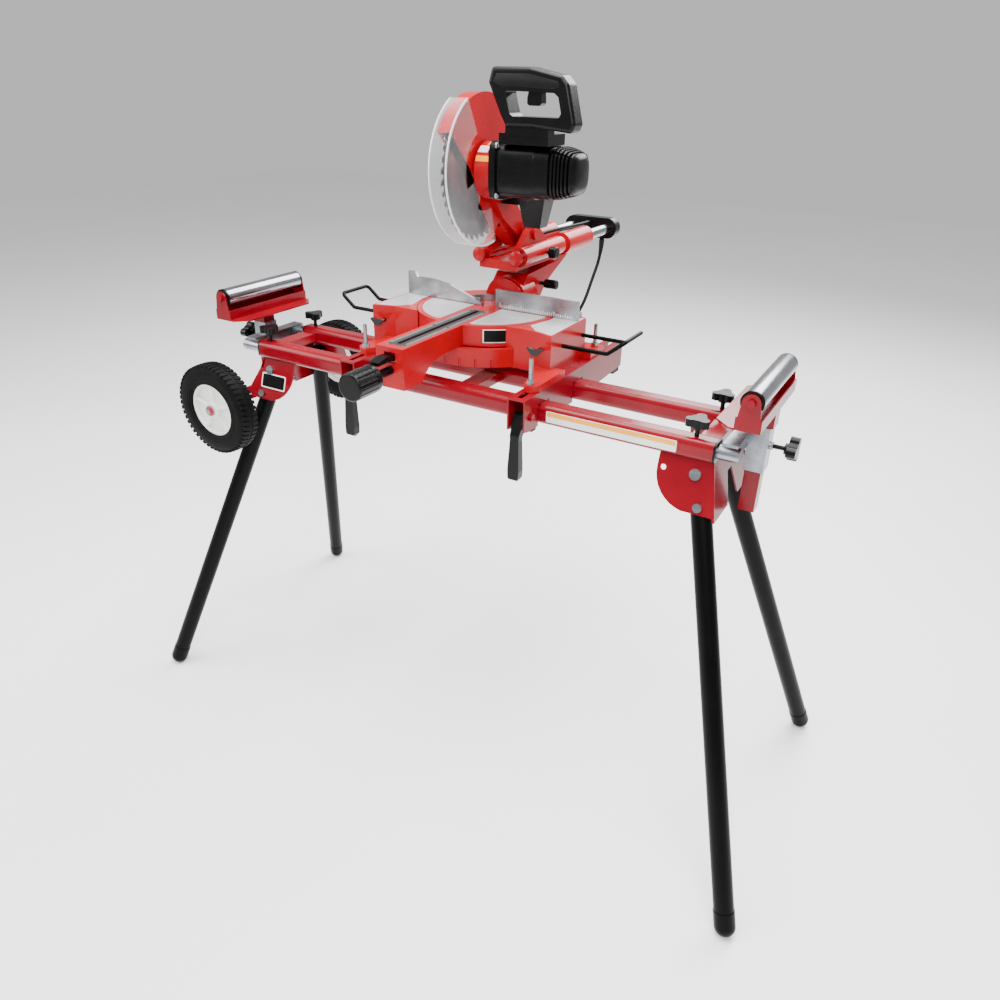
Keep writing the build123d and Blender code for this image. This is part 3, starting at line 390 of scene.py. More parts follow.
def build_finishes() -> FinishRack:
    """Mix every finish.

    Returns:
        The rack of finished materials.
    """
    plastic = Finish("black_plastic", (0.0010, 0.0010, 0.0012), (0.003, 0.003, 0.0032), (0.20, 0.32),
                     fine=1500.0, relief=0.12, depth=0.0003, gloss=0.18, scuff=(0.008, 0.008, 0.008))
    saw_x = SAW_X * MM
    slot_shade_half = 0.0135  # half the band of painted shade that stands for the dark slot where the kerf insert is cut
    return FinishRack(
        red_frame=Finish("red_powder_coat", (0.155, 0.0, 0.0050), (0.20, 0.0, 0.0065), (0.18, 0.26),
                         fine=520.0, relief=0.03, depth=0.0003, coat=0.06, gloss=0.26,
                         scuff=(0.13, 0.0004, 0.002)).build(),
        red_casting=Finish("red_casting_paint", (0.33, 0.0, 0.0048), (0.39, 0.0, 0.0060), (0.19, 0.28),
                           fine=320.0, relief=0.04, depth=0.0004, coat=0.06, gloss=0.26,
                           scuff=(0.28, 0.0006, 0.001)).build(),
        black_steel=Finish("black_paint", (0.0008, 0.0008, 0.001), (0.002, 0.002, 0.0022), (0.28, 0.38),
                           fine=500.0, relief=0.05, gloss=0.07, scuff=(0.005, 0.005, 0.005)).build(),
        zinc=Finish("zinc_plate", (0.17, 0.18, 0.20), (0.34, 0.355, 0.38), (0.22, 0.40), 1.0, Grain.ALONG_X,
                    tone=30.0, fine=900.0, relief=0.06, scuff=(0.36, 0.36, 0.37)).build(),
        fasteners=BandFinish("base_fasteners", (0.22, 0.23, 0.24), (0.40, 0.41, 0.43), (0.22, 0.40), 1.0,
                             tone=30.0, fine=900.0, relief=0.06, axis=1, low=-0.199, high=-0.119,
                             band=(0.004, 0.004, 0.004)).build(),
        chrome_y=Finish("polished_tube", (0.24, 0.25, 0.27), (0.42, 0.43, 0.46), (0.08, 0.18), 1.0,
                        Grain.ALONG_Y, tone=8.0, fine=1400.0, relief=0.03).build(),
        aluminium=Finish("milled_aluminium", (0.17, 0.17, 0.18), (0.42, 0.43, 0.44), (0.26, 0.42), 1.0,
                         Grain.ALONG_X, tone=22.0, fine=1100.0, relief=0.10).build(),
        blade_steel=Finish("ground_steel", (0.10, 0.10, 0.105), (0.34, 0.34, 0.35), (0.20, 0.34), 1.0,
                           tone=9.0, fine=1600.0, relief=0.05, scuff=(0.25, 0.25, 0.26)).build(),
        carbide=Finish("carbide_tip", (0.30, 0.30, 0.31), (0.45, 0.45, 0.46), (0.4, 0.6), 1.0).build(),
        black_plastic=plastic.build(),
        grip_rubber=Finish("soft_grip", (0.0015, 0.0015, 0.0018), (0.004, 0.004, 0.0045), (0.40, 0.55),
                           gloss=0.16, fine=1900.0, relief=0.4, depth=0.0004).build(),
        white_plastic=Finish("wheel_plastic", (0.70, 0.70, 0.68), (0.82, 0.82, 0.80), (0.30, 0.46),
                             tone=10.0, fine=800.0, relief=0.08, coat=0.15, scuff=(0.55, 0.54, 0.51)).build(),
        hub_cap=Finish("hub_cap", (0.16, 0.01, 0.02), (0.26, 0.02, 0.03), (0.3, 0.45)).build(),
        tyre=Finish("tyre_rubber", (0.0014, 0.0014, 0.0014), (0.004, 0.004, 0.0038), (0.5, 0.7),
                    gloss=0.07, tone=26.0, fine=900.0, relief=0.35, depth=0.0006,
                    scuff=(0.03, 0.029, 0.027)).build(),
        cord=Finish("cord_sheath", (0.0015, 0.0015, 0.0015), (0.004, 0.004, 0.004), (0.4, 0.56), gloss=0.16,
                    fine=1500.0, relief=0.12).build(),
        clear=ClearFinish().build(),
        guard_rim=Finish("guard_rim", (0.66, 0.68, 0.70), (0.80, 0.82, 0.84), (0.14, 0.26), fine=700.0,
                         relief=0.03, coat=0.4).build(),
        # the kerf insert's dark band is painted shade: a near-black strip with no metal where the slot in the
        # insert would show dark
        kerf=BandFinish("kerf_insert", (0.34, 0.35, 0.37), (0.52, 0.53, 0.55), (0.26, 0.4), 1.0,
                        Grain.ALONG_Y, tone=20.0, fine=1000.0, relief=0.06, axis=0,
                        low=saw_x - slot_shade_half, high=saw_x + slot_shade_half).build(),
        machined=Finish("machined_table", (0.62, 0.63, 0.65), (0.82, 0.83, 0.85), (0.30, 0.42), 0.75,
                        Grain.ALONG_X, tone=16.0, fine=1300.0, relief=0.08).build(),
        label_black=Finish("label_black", (0.001, 0.001, 0.001), (0.003, 0.003, 0.003), (0.28, 0.4),
                           fine=900.0, gloss=0.14).build(),
        label_white=Finish("label_white", (0.72, 0.72, 0.70), (0.84, 0.84, 0.82), (0.34, 0.5), fine=900.0,
                           coat=0.2).build(),
        label_yellow=Finish("label_yellow", (0.78, 0.30, 0.002), (0.88, 0.40, 0.006), (0.34, 0.5), fine=900.0,
                            coat=0.2).build(),
    )


# ---------------------------------------------------------------- mesh tools
CORNER_STEPS = 4  # steps round a label's corner
SMOOTH_ANGLE = math.radians(32)  # edges sharper than this stay crisp
BEVEL_ANGLE = math.radians(35)  # edges sharper than this are rounded
ROUNDED_ANGLE = math.radians(40)  # and after rounding, the ones that stay crisp


def new_piece(name: str, mesh: Mesh, finish: bpy.types.Material, smooth: bool = True) -> bpy.types.Object:
    """Turn a mesh into an object in the scene.

    Args:
        name: the piece's name.
        mesh: its finished bmesh, which is freed.
        finish: its material.
        smooth: shade it smooth with sharp edges kept.

    Returns:
        The new object.
    """
    bmesh.ops.remove_doubles(mesh, verts=mesh.verts, dist=1e-6)
    bmesh.ops.recalc_face_normals(mesh, faces=mesh.faces)
    data = bpy.data.meshes.new(name)
    mesh.to_mesh(data)
    mesh.free()
    piece = bpy.data.objects.new(name, data)
    bpy.context.scene.collection.objects.link(piece)
    data.materials.append(finish)
    if smooth:
        data.shade_smooth()
        data.set_sharp_from_angle(angle=SMOOTH_ANGLE)
    return piece


def join_rings(mesh: Mesh, rings: Sequence[Sequence[Vector]], caps: bool = True) -> None:
    """Skin a row of rings of points.

    Args:
        mesh: mesh to add to.
        rings: the rings, each with as many points in the same order round.
        caps: close the first and last ring.
    """
    rows = [[mesh.verts.new(point) for point in ring] for ring in rings]
    for lower, upper in zip(rows, rows[1:]):
        for step in range(len(lower)):
            after = (step + 1) % len(lower)
            mesh.faces.new((lower[step], lower[after], upper[after], upper[step]))
    if caps:
        mesh.faces.new(rows[0])
        mesh.faces.new(rows[-1])


def lathe(mesh: Mesh, profile: Sequence[tuple[float, float]], centre: Vector, axis: Vector,
          segments: int = 48) -> None:
    """Add a turned shape, closed at its ends unless its profile runs back to its start.

    Args:
        mesh: mesh to add to.
        profile: (distance along the axis, radius) pairs in millimetres, end to end.
        centre: point that distance 0 stands for.
        axis: the turning axis.
        segments: steps round the axis.
    """
    turn = axis.normalized()
    side = turn.orthogonal().normalized()
    up = turn.cross(side)
    rings = []
    for along, radius in profile:
        middle = centre + turn * along * MM
        angles = (FULL_TURN * step / segments for step in range(segments))
        rings.append([middle + (side * math.cos(a) + up * math.sin(a)) * radius * MM for a in angles])
    join_rings(mesh, rings, caps=profile[0] != profile[-1])


def slab(mesh: Mesh, outline: Sequence[Vector], depth: Vector) -> None:
    """Add an outline pushed along a vector, closed at both ends.

    Args:
        mesh: mesh to add to.
        outline: corners in order, in metres.
        depth: the push, in metres.
    """
    join_rings(mesh, [outline, [point + depth for point in outline]])


def rounded_sheet(centre: Vector, across: Vector, up: Vector, radius: float) -> list[Vector]:
    """Corners of a rounded rectangle.

    Args:
        centre: its middle.
        across: half its width, as a vector.
        up: half its height, as a vector.
        radius: corner radius in metres.

    Returns:
        Outline points in order.
    """
    points = []
    a, b = across.normalized(), up.normalized()
    for corner, (sx, sy) in enumerate(((1, 1), (-1, 1), (-1, -1), (1, -1))):
        middle = centre + a * sx * (across.length - radius) + b * sy * (up.length - radius)
        for step in range(CORNER_STEPS + 1):
            angle = math.radians(90 * (corner + step / CORNER_STEPS))
            points.append(middle + a * radius * math.cos(angle) + b * radius * math.sin(angle))
    return points


def soften(piece: bpy.types.Object, width: float, segments: int = 2) -> bpy.types.Object:
    """Round a piece's sharp edges for good.

    Args:
        piece: the object.
        width: rounding in metres.
        segments: steps in the rounding.

    Returns:
        The same object.
    """
    modifier = piece.modifiers.new("edges", "BEVEL")
    modifier.width = width
    modifier.segments = segments
    modifier.limit_method = "ANGLE"
    modifier.angle_limit = BEVEL_ANGLE
    graph = bpy.context.evaluated_depsgraph_get()
    shaped = bpy.data.meshes.new_from_object(piece.evaluated_get(graph))
    piece.modifiers.clear()
    old = piece.data
    piece.data = shaped
    bpy.data.meshes.remove(old)
    shaped.shade_smooth()
    shaped.set_sharp_from_angle(angle=ROUNDED_ANGLE)
    return piece


def mounted(piece: bpy.types.Object, body: str) -> bpy.types.Object:
    """Let a piece ride on a body.

    Args:
        piece: the new object.
        body: the body it moves with.

    Returns:
        The same object.
    """
    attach(piece, body)
    LOG.info("%s rides on %s", piece.name, body)
    return piece


def paint(nodes: Iterable[str], finish: bpy.types.Material) -> None:
    """Give CAD nodes a finish.

    Args:
        nodes: the nodes' names.
        finish: the material.
    """
    for node in nodes:
        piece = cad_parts[node]
        if not piece.data.materials:
            piece.data.materials.append(finish)
        for slot in piece.material_slots:
            slot.link = "OBJECT"
            slot.material = finish
        LOG.info("%s finished in %s", node, finish.name)


# ---------------------------------------------------------------- cord
@dataclass
class PowerCord:
    """The mains lead: out of the tube end cap, down behind the saw and put away in a tied coil."""

    finishes: FinishRack
    radius: float = 4.0
    length: float = 1.87
    route: tuple[Point, ...] = (
        (-14, 607, 1003), (-14, 607, 964), (-16, 568, 911), (-16, 526, 856), (-34, 484, 808),
        (-73, 441, 794), (-118, 405, 802), (-160, 370, 824), (-204, 331, 850), (-247, 289, 861),
    )
    coil_centre: tuple[float, float] = (-214.5, 254.0)
    coil_outer: float = 48.0
    coil_inner: float = 32.0
    coil_floor: float = 861.0
    coil_turns: float = 4.76
    start_angle: float = 133.0
    climb: float = 0.3  # share of a turn in which the coil rises to its upper layer
    relief_share: float = 0.46  # share of the lead's first bend inside its sleeve
    tie_places: tuple[float, float] = (210.0, 330.0)  # degrees round the coil
    plug_end: tuple[Point, ...] = ((-222, 297.5, 877), (-234, 291.5, 880), (-240, 285, 881), (-240, 278, 881))

    def coil_points(self) -> list[Vector]:
        """Wind two flat spirals, inwards and then outwards on top.

        Returns:
            The coil's control points, sixteen to a turn.
        """
        points = []
        steps = int(self.coil_turns * 16)
        middle = self.coil_turns / 2
        for step in range(1, steps + 1):
            turn = self.coil_turns * step / steps
            share = 1 - abs(turn - middle) / middle
            radius = self.coil_outer - (self.coil_outer - self.coil_inner) * share
            lift = min(max((turn - middle) / self.climb + 0.5, 0.0), 1.0) * 2 * self.radius
            angle = math.radians(self.start_angle) + FULL_TURN * turn
            points.append(at(self.coil_centre[0] + radius * math.cos(angle),
                             self.coil_centre[1] + radius * math.sin(angle), self.coil_floor + lift))
        return points

    def build(self) -> None:
        """Lay the lead as one smooth spline and tie its coil."""
        points = [at(*p) for p in self.route] + self.coil_points() + [at(*p) for p in self.plug_end]
        data = bpy.data.curves.new("power_lead", "CURVE")
        data.dimensions = "3D"
        spline = data.splines.new("NURBS")
        spline.points.add(len(points) - 1)
        for knot, point in zip(spline.points, points):
            knot.co = (*point, 1.0)
        spline.order_u = 3
        spline.use_endpoint_u = True
        spline.resolution_u = 6
        data.bevel_depth = self.radius * MM
        data.bevel_resolution = 4
        data.use_fill_caps = True
        data.materials.append(self.finishes.cord)
        lead = bpy.data.objects.new("power_lead", data)
        bpy.context.scene.collection.objects.link(lead)
        mounted(lead, "saw_mounts")
        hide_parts("power_cord", "cord_coil")
        self.strain_relief()
        for degrees in self.tie_places:
            self.tie(degrees)
        paint(["plug"], self.finishes.cord)

    def strain_relief(self) -> None:
        """Taper a ribbed rubber sleeve along the lead's first bend, below the tube end cap."""
        wide, narrow, groove = 7.2, 4.6, 0.55
        steps, sides = 40, 28
        start, knee, far = (at(*p) for p in self.route[:3])
        end = (knee + far) / 2
        side = Vector((1, 0, 0))
        rings = []
        for step in range(steps + 1):
            share = self.relief_share * step / steps
            middle = start * (1 - share) ** 2 + knee * 2 * share * (1 - share) + end * share ** 2
            ahead = ((knee - start) * (1 - share) + (end - knee) * share).normalized()
            up = ahead.cross(side).normalized()
            radius = wide - (wide - narrow) * step / steps
            if step % 5 in (3, 4) and step < steps - 2:
                radius -= groove
            angles = (FULL_TURN * turn / sides for turn in range(sides))
            rings.append([middle + (side * math.cos(a) + up * math.sin(a)) * radius * MM for a in angles])
        mesh = bmesh.new()
        join_rings(mesh, rings)
        sleeve = new_piece("strain_relief", mesh, self.finishes.cord)
        mounted(sleeve, "slide_head")

    def tie(self, degrees: float) -> None:
        """Put a flat strap round the coil.

        Args:
            degrees: where on the coil it sits.
        """
        half_wide = 0.006
        angle = math.radians(degrees)
        out = Vector((math.cos(angle), math.sin(angle), 0))
        along = Vector((-out.y, out.x, 0))
        middle = at(*self.coil_centre, self.coil_floor + self.radius) + out * 0.040
        outer = rounded_sheet(middle, out * 0.0118, Vector((0, 0, 0.0078)), 0.004)
        mesh = bmesh.new()
        slab(mesh, [p - along * half_wide for p in outer], along * 2 * half_wide)
        strap = new_piece(f"coil_strap_{int(degrees)}", mesh, self.finishes.grip_rubber)
        mounted(strap, "saw_mounts")


# ---------------------------------------------------------------- wheels
@dataclass
class RoadWheel:
    """A treaded tyre on a white dished hub with a dark red cap."""

    finishes: FinishRack
    name: str
    side: int
    centre: Point
    width: float = 44.0
    radius: float = 101.0
    bead: float = 58.0
    blocks: int = 52
    cap_y: float = 225.4  # where the cap stands on the hub, from the stand's middle

    def build(self) -> None:
        """Make the tyre and the hub cap and dress the hub."""
        self.tyre()
        self.cap()
        paint([f"wheel_hub_{self.name}"], self.finishes.white_plastic)

    def tyre(self) -> None:
        """Turn the carcass and set two staggered rows of tread blocks on it."""
        axis = Vector((0, self.side, 0))
        middle = at(*self.centre)
        half = self.width / 2
        gap = 3.0  # bare rubber beside each row of blocks
        profile = [(-half + 3, self.bead), (-half + 1, self.bead + 3), (-half + 1.5, self.bead + 7),
                   (-half, self.bead + 9), (-half, self.bead + 12), (-half + 0.8, self.bead + 13),
                   (-half, self.bead + 14), (-half, self.bead + 26), (-half + 1.8, self.radius - 10),
                   (-half + 6, self.radius - 4.0), (-half + 12, self.radius - 2.2), (0, self.radius - 1.6)]
        profile += [(-along, radius) for along, radius in reversed(profile[:-1])]
        profile.append(profile[0])
        mesh = bmesh.new()
        lathe(mesh, profile, middle, axis, 96)
        side = axis.orthogonal().normalized()
        up = axis.cross(side)
        for row, (inner, outer) in enumerate(((gap - half, -gap), (gap, half - gap))):
            for block in range(self.blocks):
                angle = FULL_TURN * (block + 0.5 * row) / self.blocks
                self.block(mesh, middle, axis, side, up, angle, inner, outer)
        tyre = new_piece(f"tread_tyre_{self.name}", mesh, self.finishes.tyre)
        mounted(tyre, f"{self.name}_wheel")
        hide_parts(f"tyre_{self.name}")

    def block(self, mesh: Mesh, middle: Vector, axis: Vector, side: Vector, up: Vector,
              angle: float, inner: float, outer: float) -> None:
        """Add one slanted tread block that hugs the crown.

        Args:
            mesh: the tyre's mesh.
            middle: wheel centre.
            axis: wheel axis.
            side: zero direction round the wheel.
            up: quarter-turn direction.
            angle: where the block sits.
            inner: its first edge along the axis, in millimetres.
            outer: its last edge along the axis, in millimetres.
        """
        half_block = 0.34 * FULL_TURN / self.blocks
        slant = 0.4 * half_block
        depth, sink, crown_curve = 6.0, 0.4, 0.004
        corners = []
        for along, drift in ((inner, -slant), ((inner + outer) / 2, 0.0), (outer, slant)):
            crown = self.radius - crown_curve * along * along - sink
            for edge in (-half_block, half_block):
                turn = angle + edge + drift
                ray = side * math.cos(turn) + up * math.sin(turn)
                corners.append([middle + axis * along * MM + ray * r * MM for r in (crown - depth, crown)])
        low = [mesh.verts.new(c[0]) for c in corners]
        top = [mesh.verts.new(c[1]) for c in corners]
        ring = (0, 2, 4, 5, 3, 1)
        for first, second in zip(ring, ring[1:] + ring[:1]):
            mesh.faces.new((low[first], low[second], top[second], top[first]))
        mesh.faces.new((top[0], top[2], top[3], top[1]))
        mesh.faces.new((top[2], top[4], top[5], top[3]))
        mesh.faces.new((low[1], low[3], low[2], low[0]))
        mesh.faces.new((low[3], low[5], low[4], low[2]))

    def cap(self) -> None:
        """Turn a small domed cap over the axle end."""
        mesh = bmesh.new()
        outer = at(self.centre[0], self.side * self.cap_y, self.centre[2])
        profile = [(0.0, 11.5), (2.2, 11.2), (4.2, 9.4), (5.4, 6.0), (5.9, 0.01)]
        lathe(mesh, profile, outer, Vector((0, self.side, 0)), 32)
        cap = new_piece(f"hub_cap_{self.name}", mesh, self.finishes.hub_cap)
        mounted(cap, f"{self.name}_wheel")


# ---------------------------------------------------------------- stand
@dataclass
class Stand:
    """The red rail frame, its legs, extensions, rollers and labels."""

    finishes: FinishRack
    rail_front: float = -92.0
    rail_z: float = 815.0
    label_ends: tuple[float, float] = (205.0, 452.0)
    bracket_centre: Point = (-477.0, -68.2, 765.0)
    bracket_lean: float = 0.3186  # how far the leg bracket leans back for each step up
    roller_x: tuple[float, float] = (-583.0, 567.0)
    roller_half: float = 113.0
    roller_z: float = 924.0

    def build(self) -> None:
        """Dress the stand's CAD nodes and add its labels."""
        ends = ("left", "right")
        rows = ("front", "rear")
        paint(["rail_frame", "leg_brackets"], self.finishes.red_frame)
        paint([f"roller_stand_{e}" for e in ends], self.finishes.red_frame)
        paint([f"leg_{r}_{e}" for r in rows for e in ends], self.finishes.black_steel)
        paint([f"leg_latch_{r}_{e}" for r in rows for e in ends], self.finishes.zinc)
        paint(["leg_pivot_bolts", "wheel_axle"], self.finishes.zinc)
        paint([f"extension_arm_{e}" for e in ends], self.finishes.zinc)
        paint(["rail_bushes"], self.finishes.black_plastic)
        paint([f"clamp_knob_{r}_{e}" for r in rows for e in ends], self.finishes.black_plastic)
        paint([f"receiver_knob_{e}" for e in ends], self.finishes.black_plastic)
        paint([f"roller_{e}" for e in ends], self.finishes.chrome_y)
        self.rail_label()
        self.bracket_label()
        for end in (-1, 1):
            self.roller_caps(end)

    def rail_label(self) -> None:
        """Stick a long white label with a yellow band on the front rail."""
        x0, x1 = self.label_ends
        face = self.rail_front - 0.3
        middle = at((x0 + x1) / 2, face, self.rail_z)
        across = Vector(((x1 - x0) / 2 * MM, 0, 0))
        mesh = bmesh.new()
        slab(mesh, rounded_sheet(middle, across, Vector((0, 0, 0.0105)), 0.002), Vector((0, 0.0004, 0)))
        mounted(new_piece("rail_label", mesh, self.finishes.label_white), "stand")
        mesh = bmesh.new()
        top = middle + Vector((0, -0.00015, 0.0050))
        slab(mesh, rounded_sheet(top, across * 0.985, Vector((0, 0, 0.0044)), 0.001), Vector((0, 0.0002, 0)))
        mounted(new_piece("rail_label_band", mesh, self.finishes.label_yellow), "stand")

    def bracket_label(self) -> None:
        """Fix a black plate with a pale border to the left leg bracket."""
        half_wide, half_tall = 0.035, 0.0165
        rise = Vector((0, self.bracket_lean, 1)).normalized()
        normal = Vector((0, -1, self.bracket_lean)).normalized()
        centre = at(*self.bracket_centre) + rise * -0.024 + normal * 0.0220
        for name, scale, lift, finish in (("bracket_label_border", 1.0, 0.0, self.finishes.label_white),
                                          ("bracket_label", 0.93, 0.00015, self.finishes.label_black)):
            mesh = bmesh.new()
            border = half_wide * (1 - scale)
            outline = rounded_sheet(centre + normal * lift, Vector((half_wide - border, 0, 0)),
                                    rise * (half_tall - border), 0.003)
            slab(mesh, outline, normal * 0.0003)
            mounted(new_piece(name, mesh, finish), "stand")

    def roller_caps(self, end: int) -> None:
        """Close the ends of one roller with black caps.

        Args:
            end: -1 for the left roller, 1 for the right.
        """
        name = side_name(end)
        x = self.roller_x[0 if end < 0 else 1]
        profile = [(0.0, 19.1), (-4.0, 19.15), (-4.0, 18.9), (1.2, 18.0), (1.4, 12.0), (1.4, 5.0), (0.0, 5.0),
                   (0.0, 19.1)]
        for side in (-1, 1):
            mesh = bmesh.new()
            lathe(mesh, profile, at(x, side * self.roller_half, self.roller_z), Vector((0, side, 0)), 40)
            place = "front" if side < 0 else "rear"
            cap = new_piece(f"roller_cap_{name}_{place}", mesh, self.finishes.black_plastic)
            mounted(cap, f"{name}_roller")


# ---------------------------------------------------------------- saw base and table
FACE_THICKNESS = Vector((0, 0, 0.0004))


@dataclass
class SawTable:
    """The base casting, turntable, fence and mounts."""

    finishes: FinishRack
    centre: tuple[float, float] = (SAW_X, 115.0)
    top: float = 935.0
    face_lift: float = 0.1  # how far a machined face is sunk in the casting
    label_z: float = 915.5
    wing_clear: float = 156.0  # radius that the side tables keep clear for the turntable

    def build(self) -> None:
        """Dress the base and lay its machined faces, labels and screws."""
        paint(["saw_base", "turntable"], self.finishes.red_casting)
        paint(["mount_bracket_left", "mount_bracket_right"], self.finishes.red_frame)
        paint(["mount_lever_left", "mount_lever_right", "mitre_lock_knob", "mitre_detent_lever"],
              self.finishes.black_plastic)
        paint(["mount_feet"], self.finishes.grip_rubber)
        paint(["saw_base_fasteners"], self.finishes.fasteners)
        paint(["work_rest_left", "work_rest_right"], self.finishes.black_steel)
        paint(["fence"], self.finishes.aluminium)
        paint(["kerf_plate"], self.finishes.kerf)
        for side in (-1, 1):
            self.table_face(side)
            self.wing_face(side)
        self.table_label()
        self.kerf_screws()
        self.fence_marks()

    def table_face(self, side: int) -> None:
        """Lay a machined half-disc on one side of the kerf.

        Args:
            side: -1 for the left half, 1 for the right.
        """
        cx, cy = self.centre
        inner, reach, corner, fence_gap = 34.0, 137.0, 6.0, 3.0
        steps = 24
        points = [(inner, -fence_gap), (inner, corner - math.sqrt(reach ** 2 - inner ** 2))]
        for step in range(steps + 1):
            angle = math.radians(-72 + 70 * step / steps)
            points.append((reach * math.cos(angle), reach * math.sin(angle)))
        points.append((reach - corner, -fence_gap))
        mesh = bmesh.new()
        outline = [at(cx + side * x, cy + y, self.top - self.face_lift) for x, y in points]
        slab(mesh, outline, FACE_THICKNESS)
        face = new_piece(f"table_face_{side_name(side)}", mesh, self.finishes.machined, False)
        mounted(face, "turntable_body")

    def wing_face(self, side: int) -> None:
        """Lay the machined top of one side table, kept clear of the turntable.

        Args:
            side: -1 for the left table, 1 for the right.
        """
        outline = [(120, 14), (161, 1), (161, 142), (104, 176), (98, 160), (106, 100), (100, 60), (96, 40)]
        cx, cy = self.centre
        points = []
        for x, y in outline:
            grow = max(1.0, self.wing_clear / math.hypot(x - cx, y - cy))
            points.append((cx + side * (x - cx) * grow, cy + (y - cy) * grow))
        mesh = bmesh.new()
        slab(mesh, [at(x, y, self.top - self.face_lift) for x, y in points], FACE_THICKNESS)
        face = new_piece(f"wing_face_{side_name(side)}", mesh, self.finishes.machined, False)
        mounted(face, "saw_mounts")

    def table_label(self) -> None:
        """Bend a black label with a pale border round the front of the turntable."""
        heading, steps, thick = -50.0, 12, 0.6
        cx, cy = self.centre
        for name, half, tall, radius, finish in (
                ("table_label_border", 13.0, 13.0, 148.15, self.finishes.label_white),
                ("table_label", 12.2, 11.6, 148.35, self.finishes.label_black)):
            z0, z1 = self.label_z - tall, self.label_z + tall
            corners = ((radius, z0), (radius, z1), (radius - thick, z1), (radius - thick, z0))
            columns = []
            for step in range(steps + 1):
                angle = math.radians(heading - half + 2 * half * step / steps)
                c, s = math.cos(angle), math.sin(angle)
                columns.append([at(cx + r * c, cy + r * s, z) for r, z in corners])
            mesh = bmesh.new()
            join_rings(mesh, columns)
            mounted(new_piece(name, mesh, finish), "turntable_body")

    def kerf_screws(self) -> None:
        """Set small countersunk screws in the kerf insert."""
        profile = [(-0.2, 3.4), (0.15, 3.2), (0.25, 1.4), (-0.6, 1.2), (-0.6, 0.01)]
        mesh = bmesh.new()
        for x in (SAW_X - 16.5, SAW_X + 16.5):
            for y in (-198, -60, 70):
                lathe(mesh, profile, at(x, y, self.top), Vector((0, 0, 1)), 20)
        screws = new_piece("kerf_screws", mesh, self.finishes.black_plastic)
        mounted(screws, "turntable_body")

    def fence_marks(self) -> None:
        """Cut graduation lines along the foot of the right fence face."""
        first, pitch, wide, foot, face = -18.0, 5.0, 1.1, self.top + 3, 114.9
        mesh = bmesh.new()
        for mark in range(34):
            x = first + mark * pitch
            head = foot + (9.0 if mark % 5 == 0 else 5.5)
            corners = ((x, foot), (x + wide, foot), (x + wide, head), (x, head))
            slab(mesh, [at(a, face, z) for a, z in corners], Vector((0, 0.0002, 0)))
        marks = new_piece("fence_marks", mesh, self.finishes.label_white, False)
        mounted(marks, "saw_mounts")


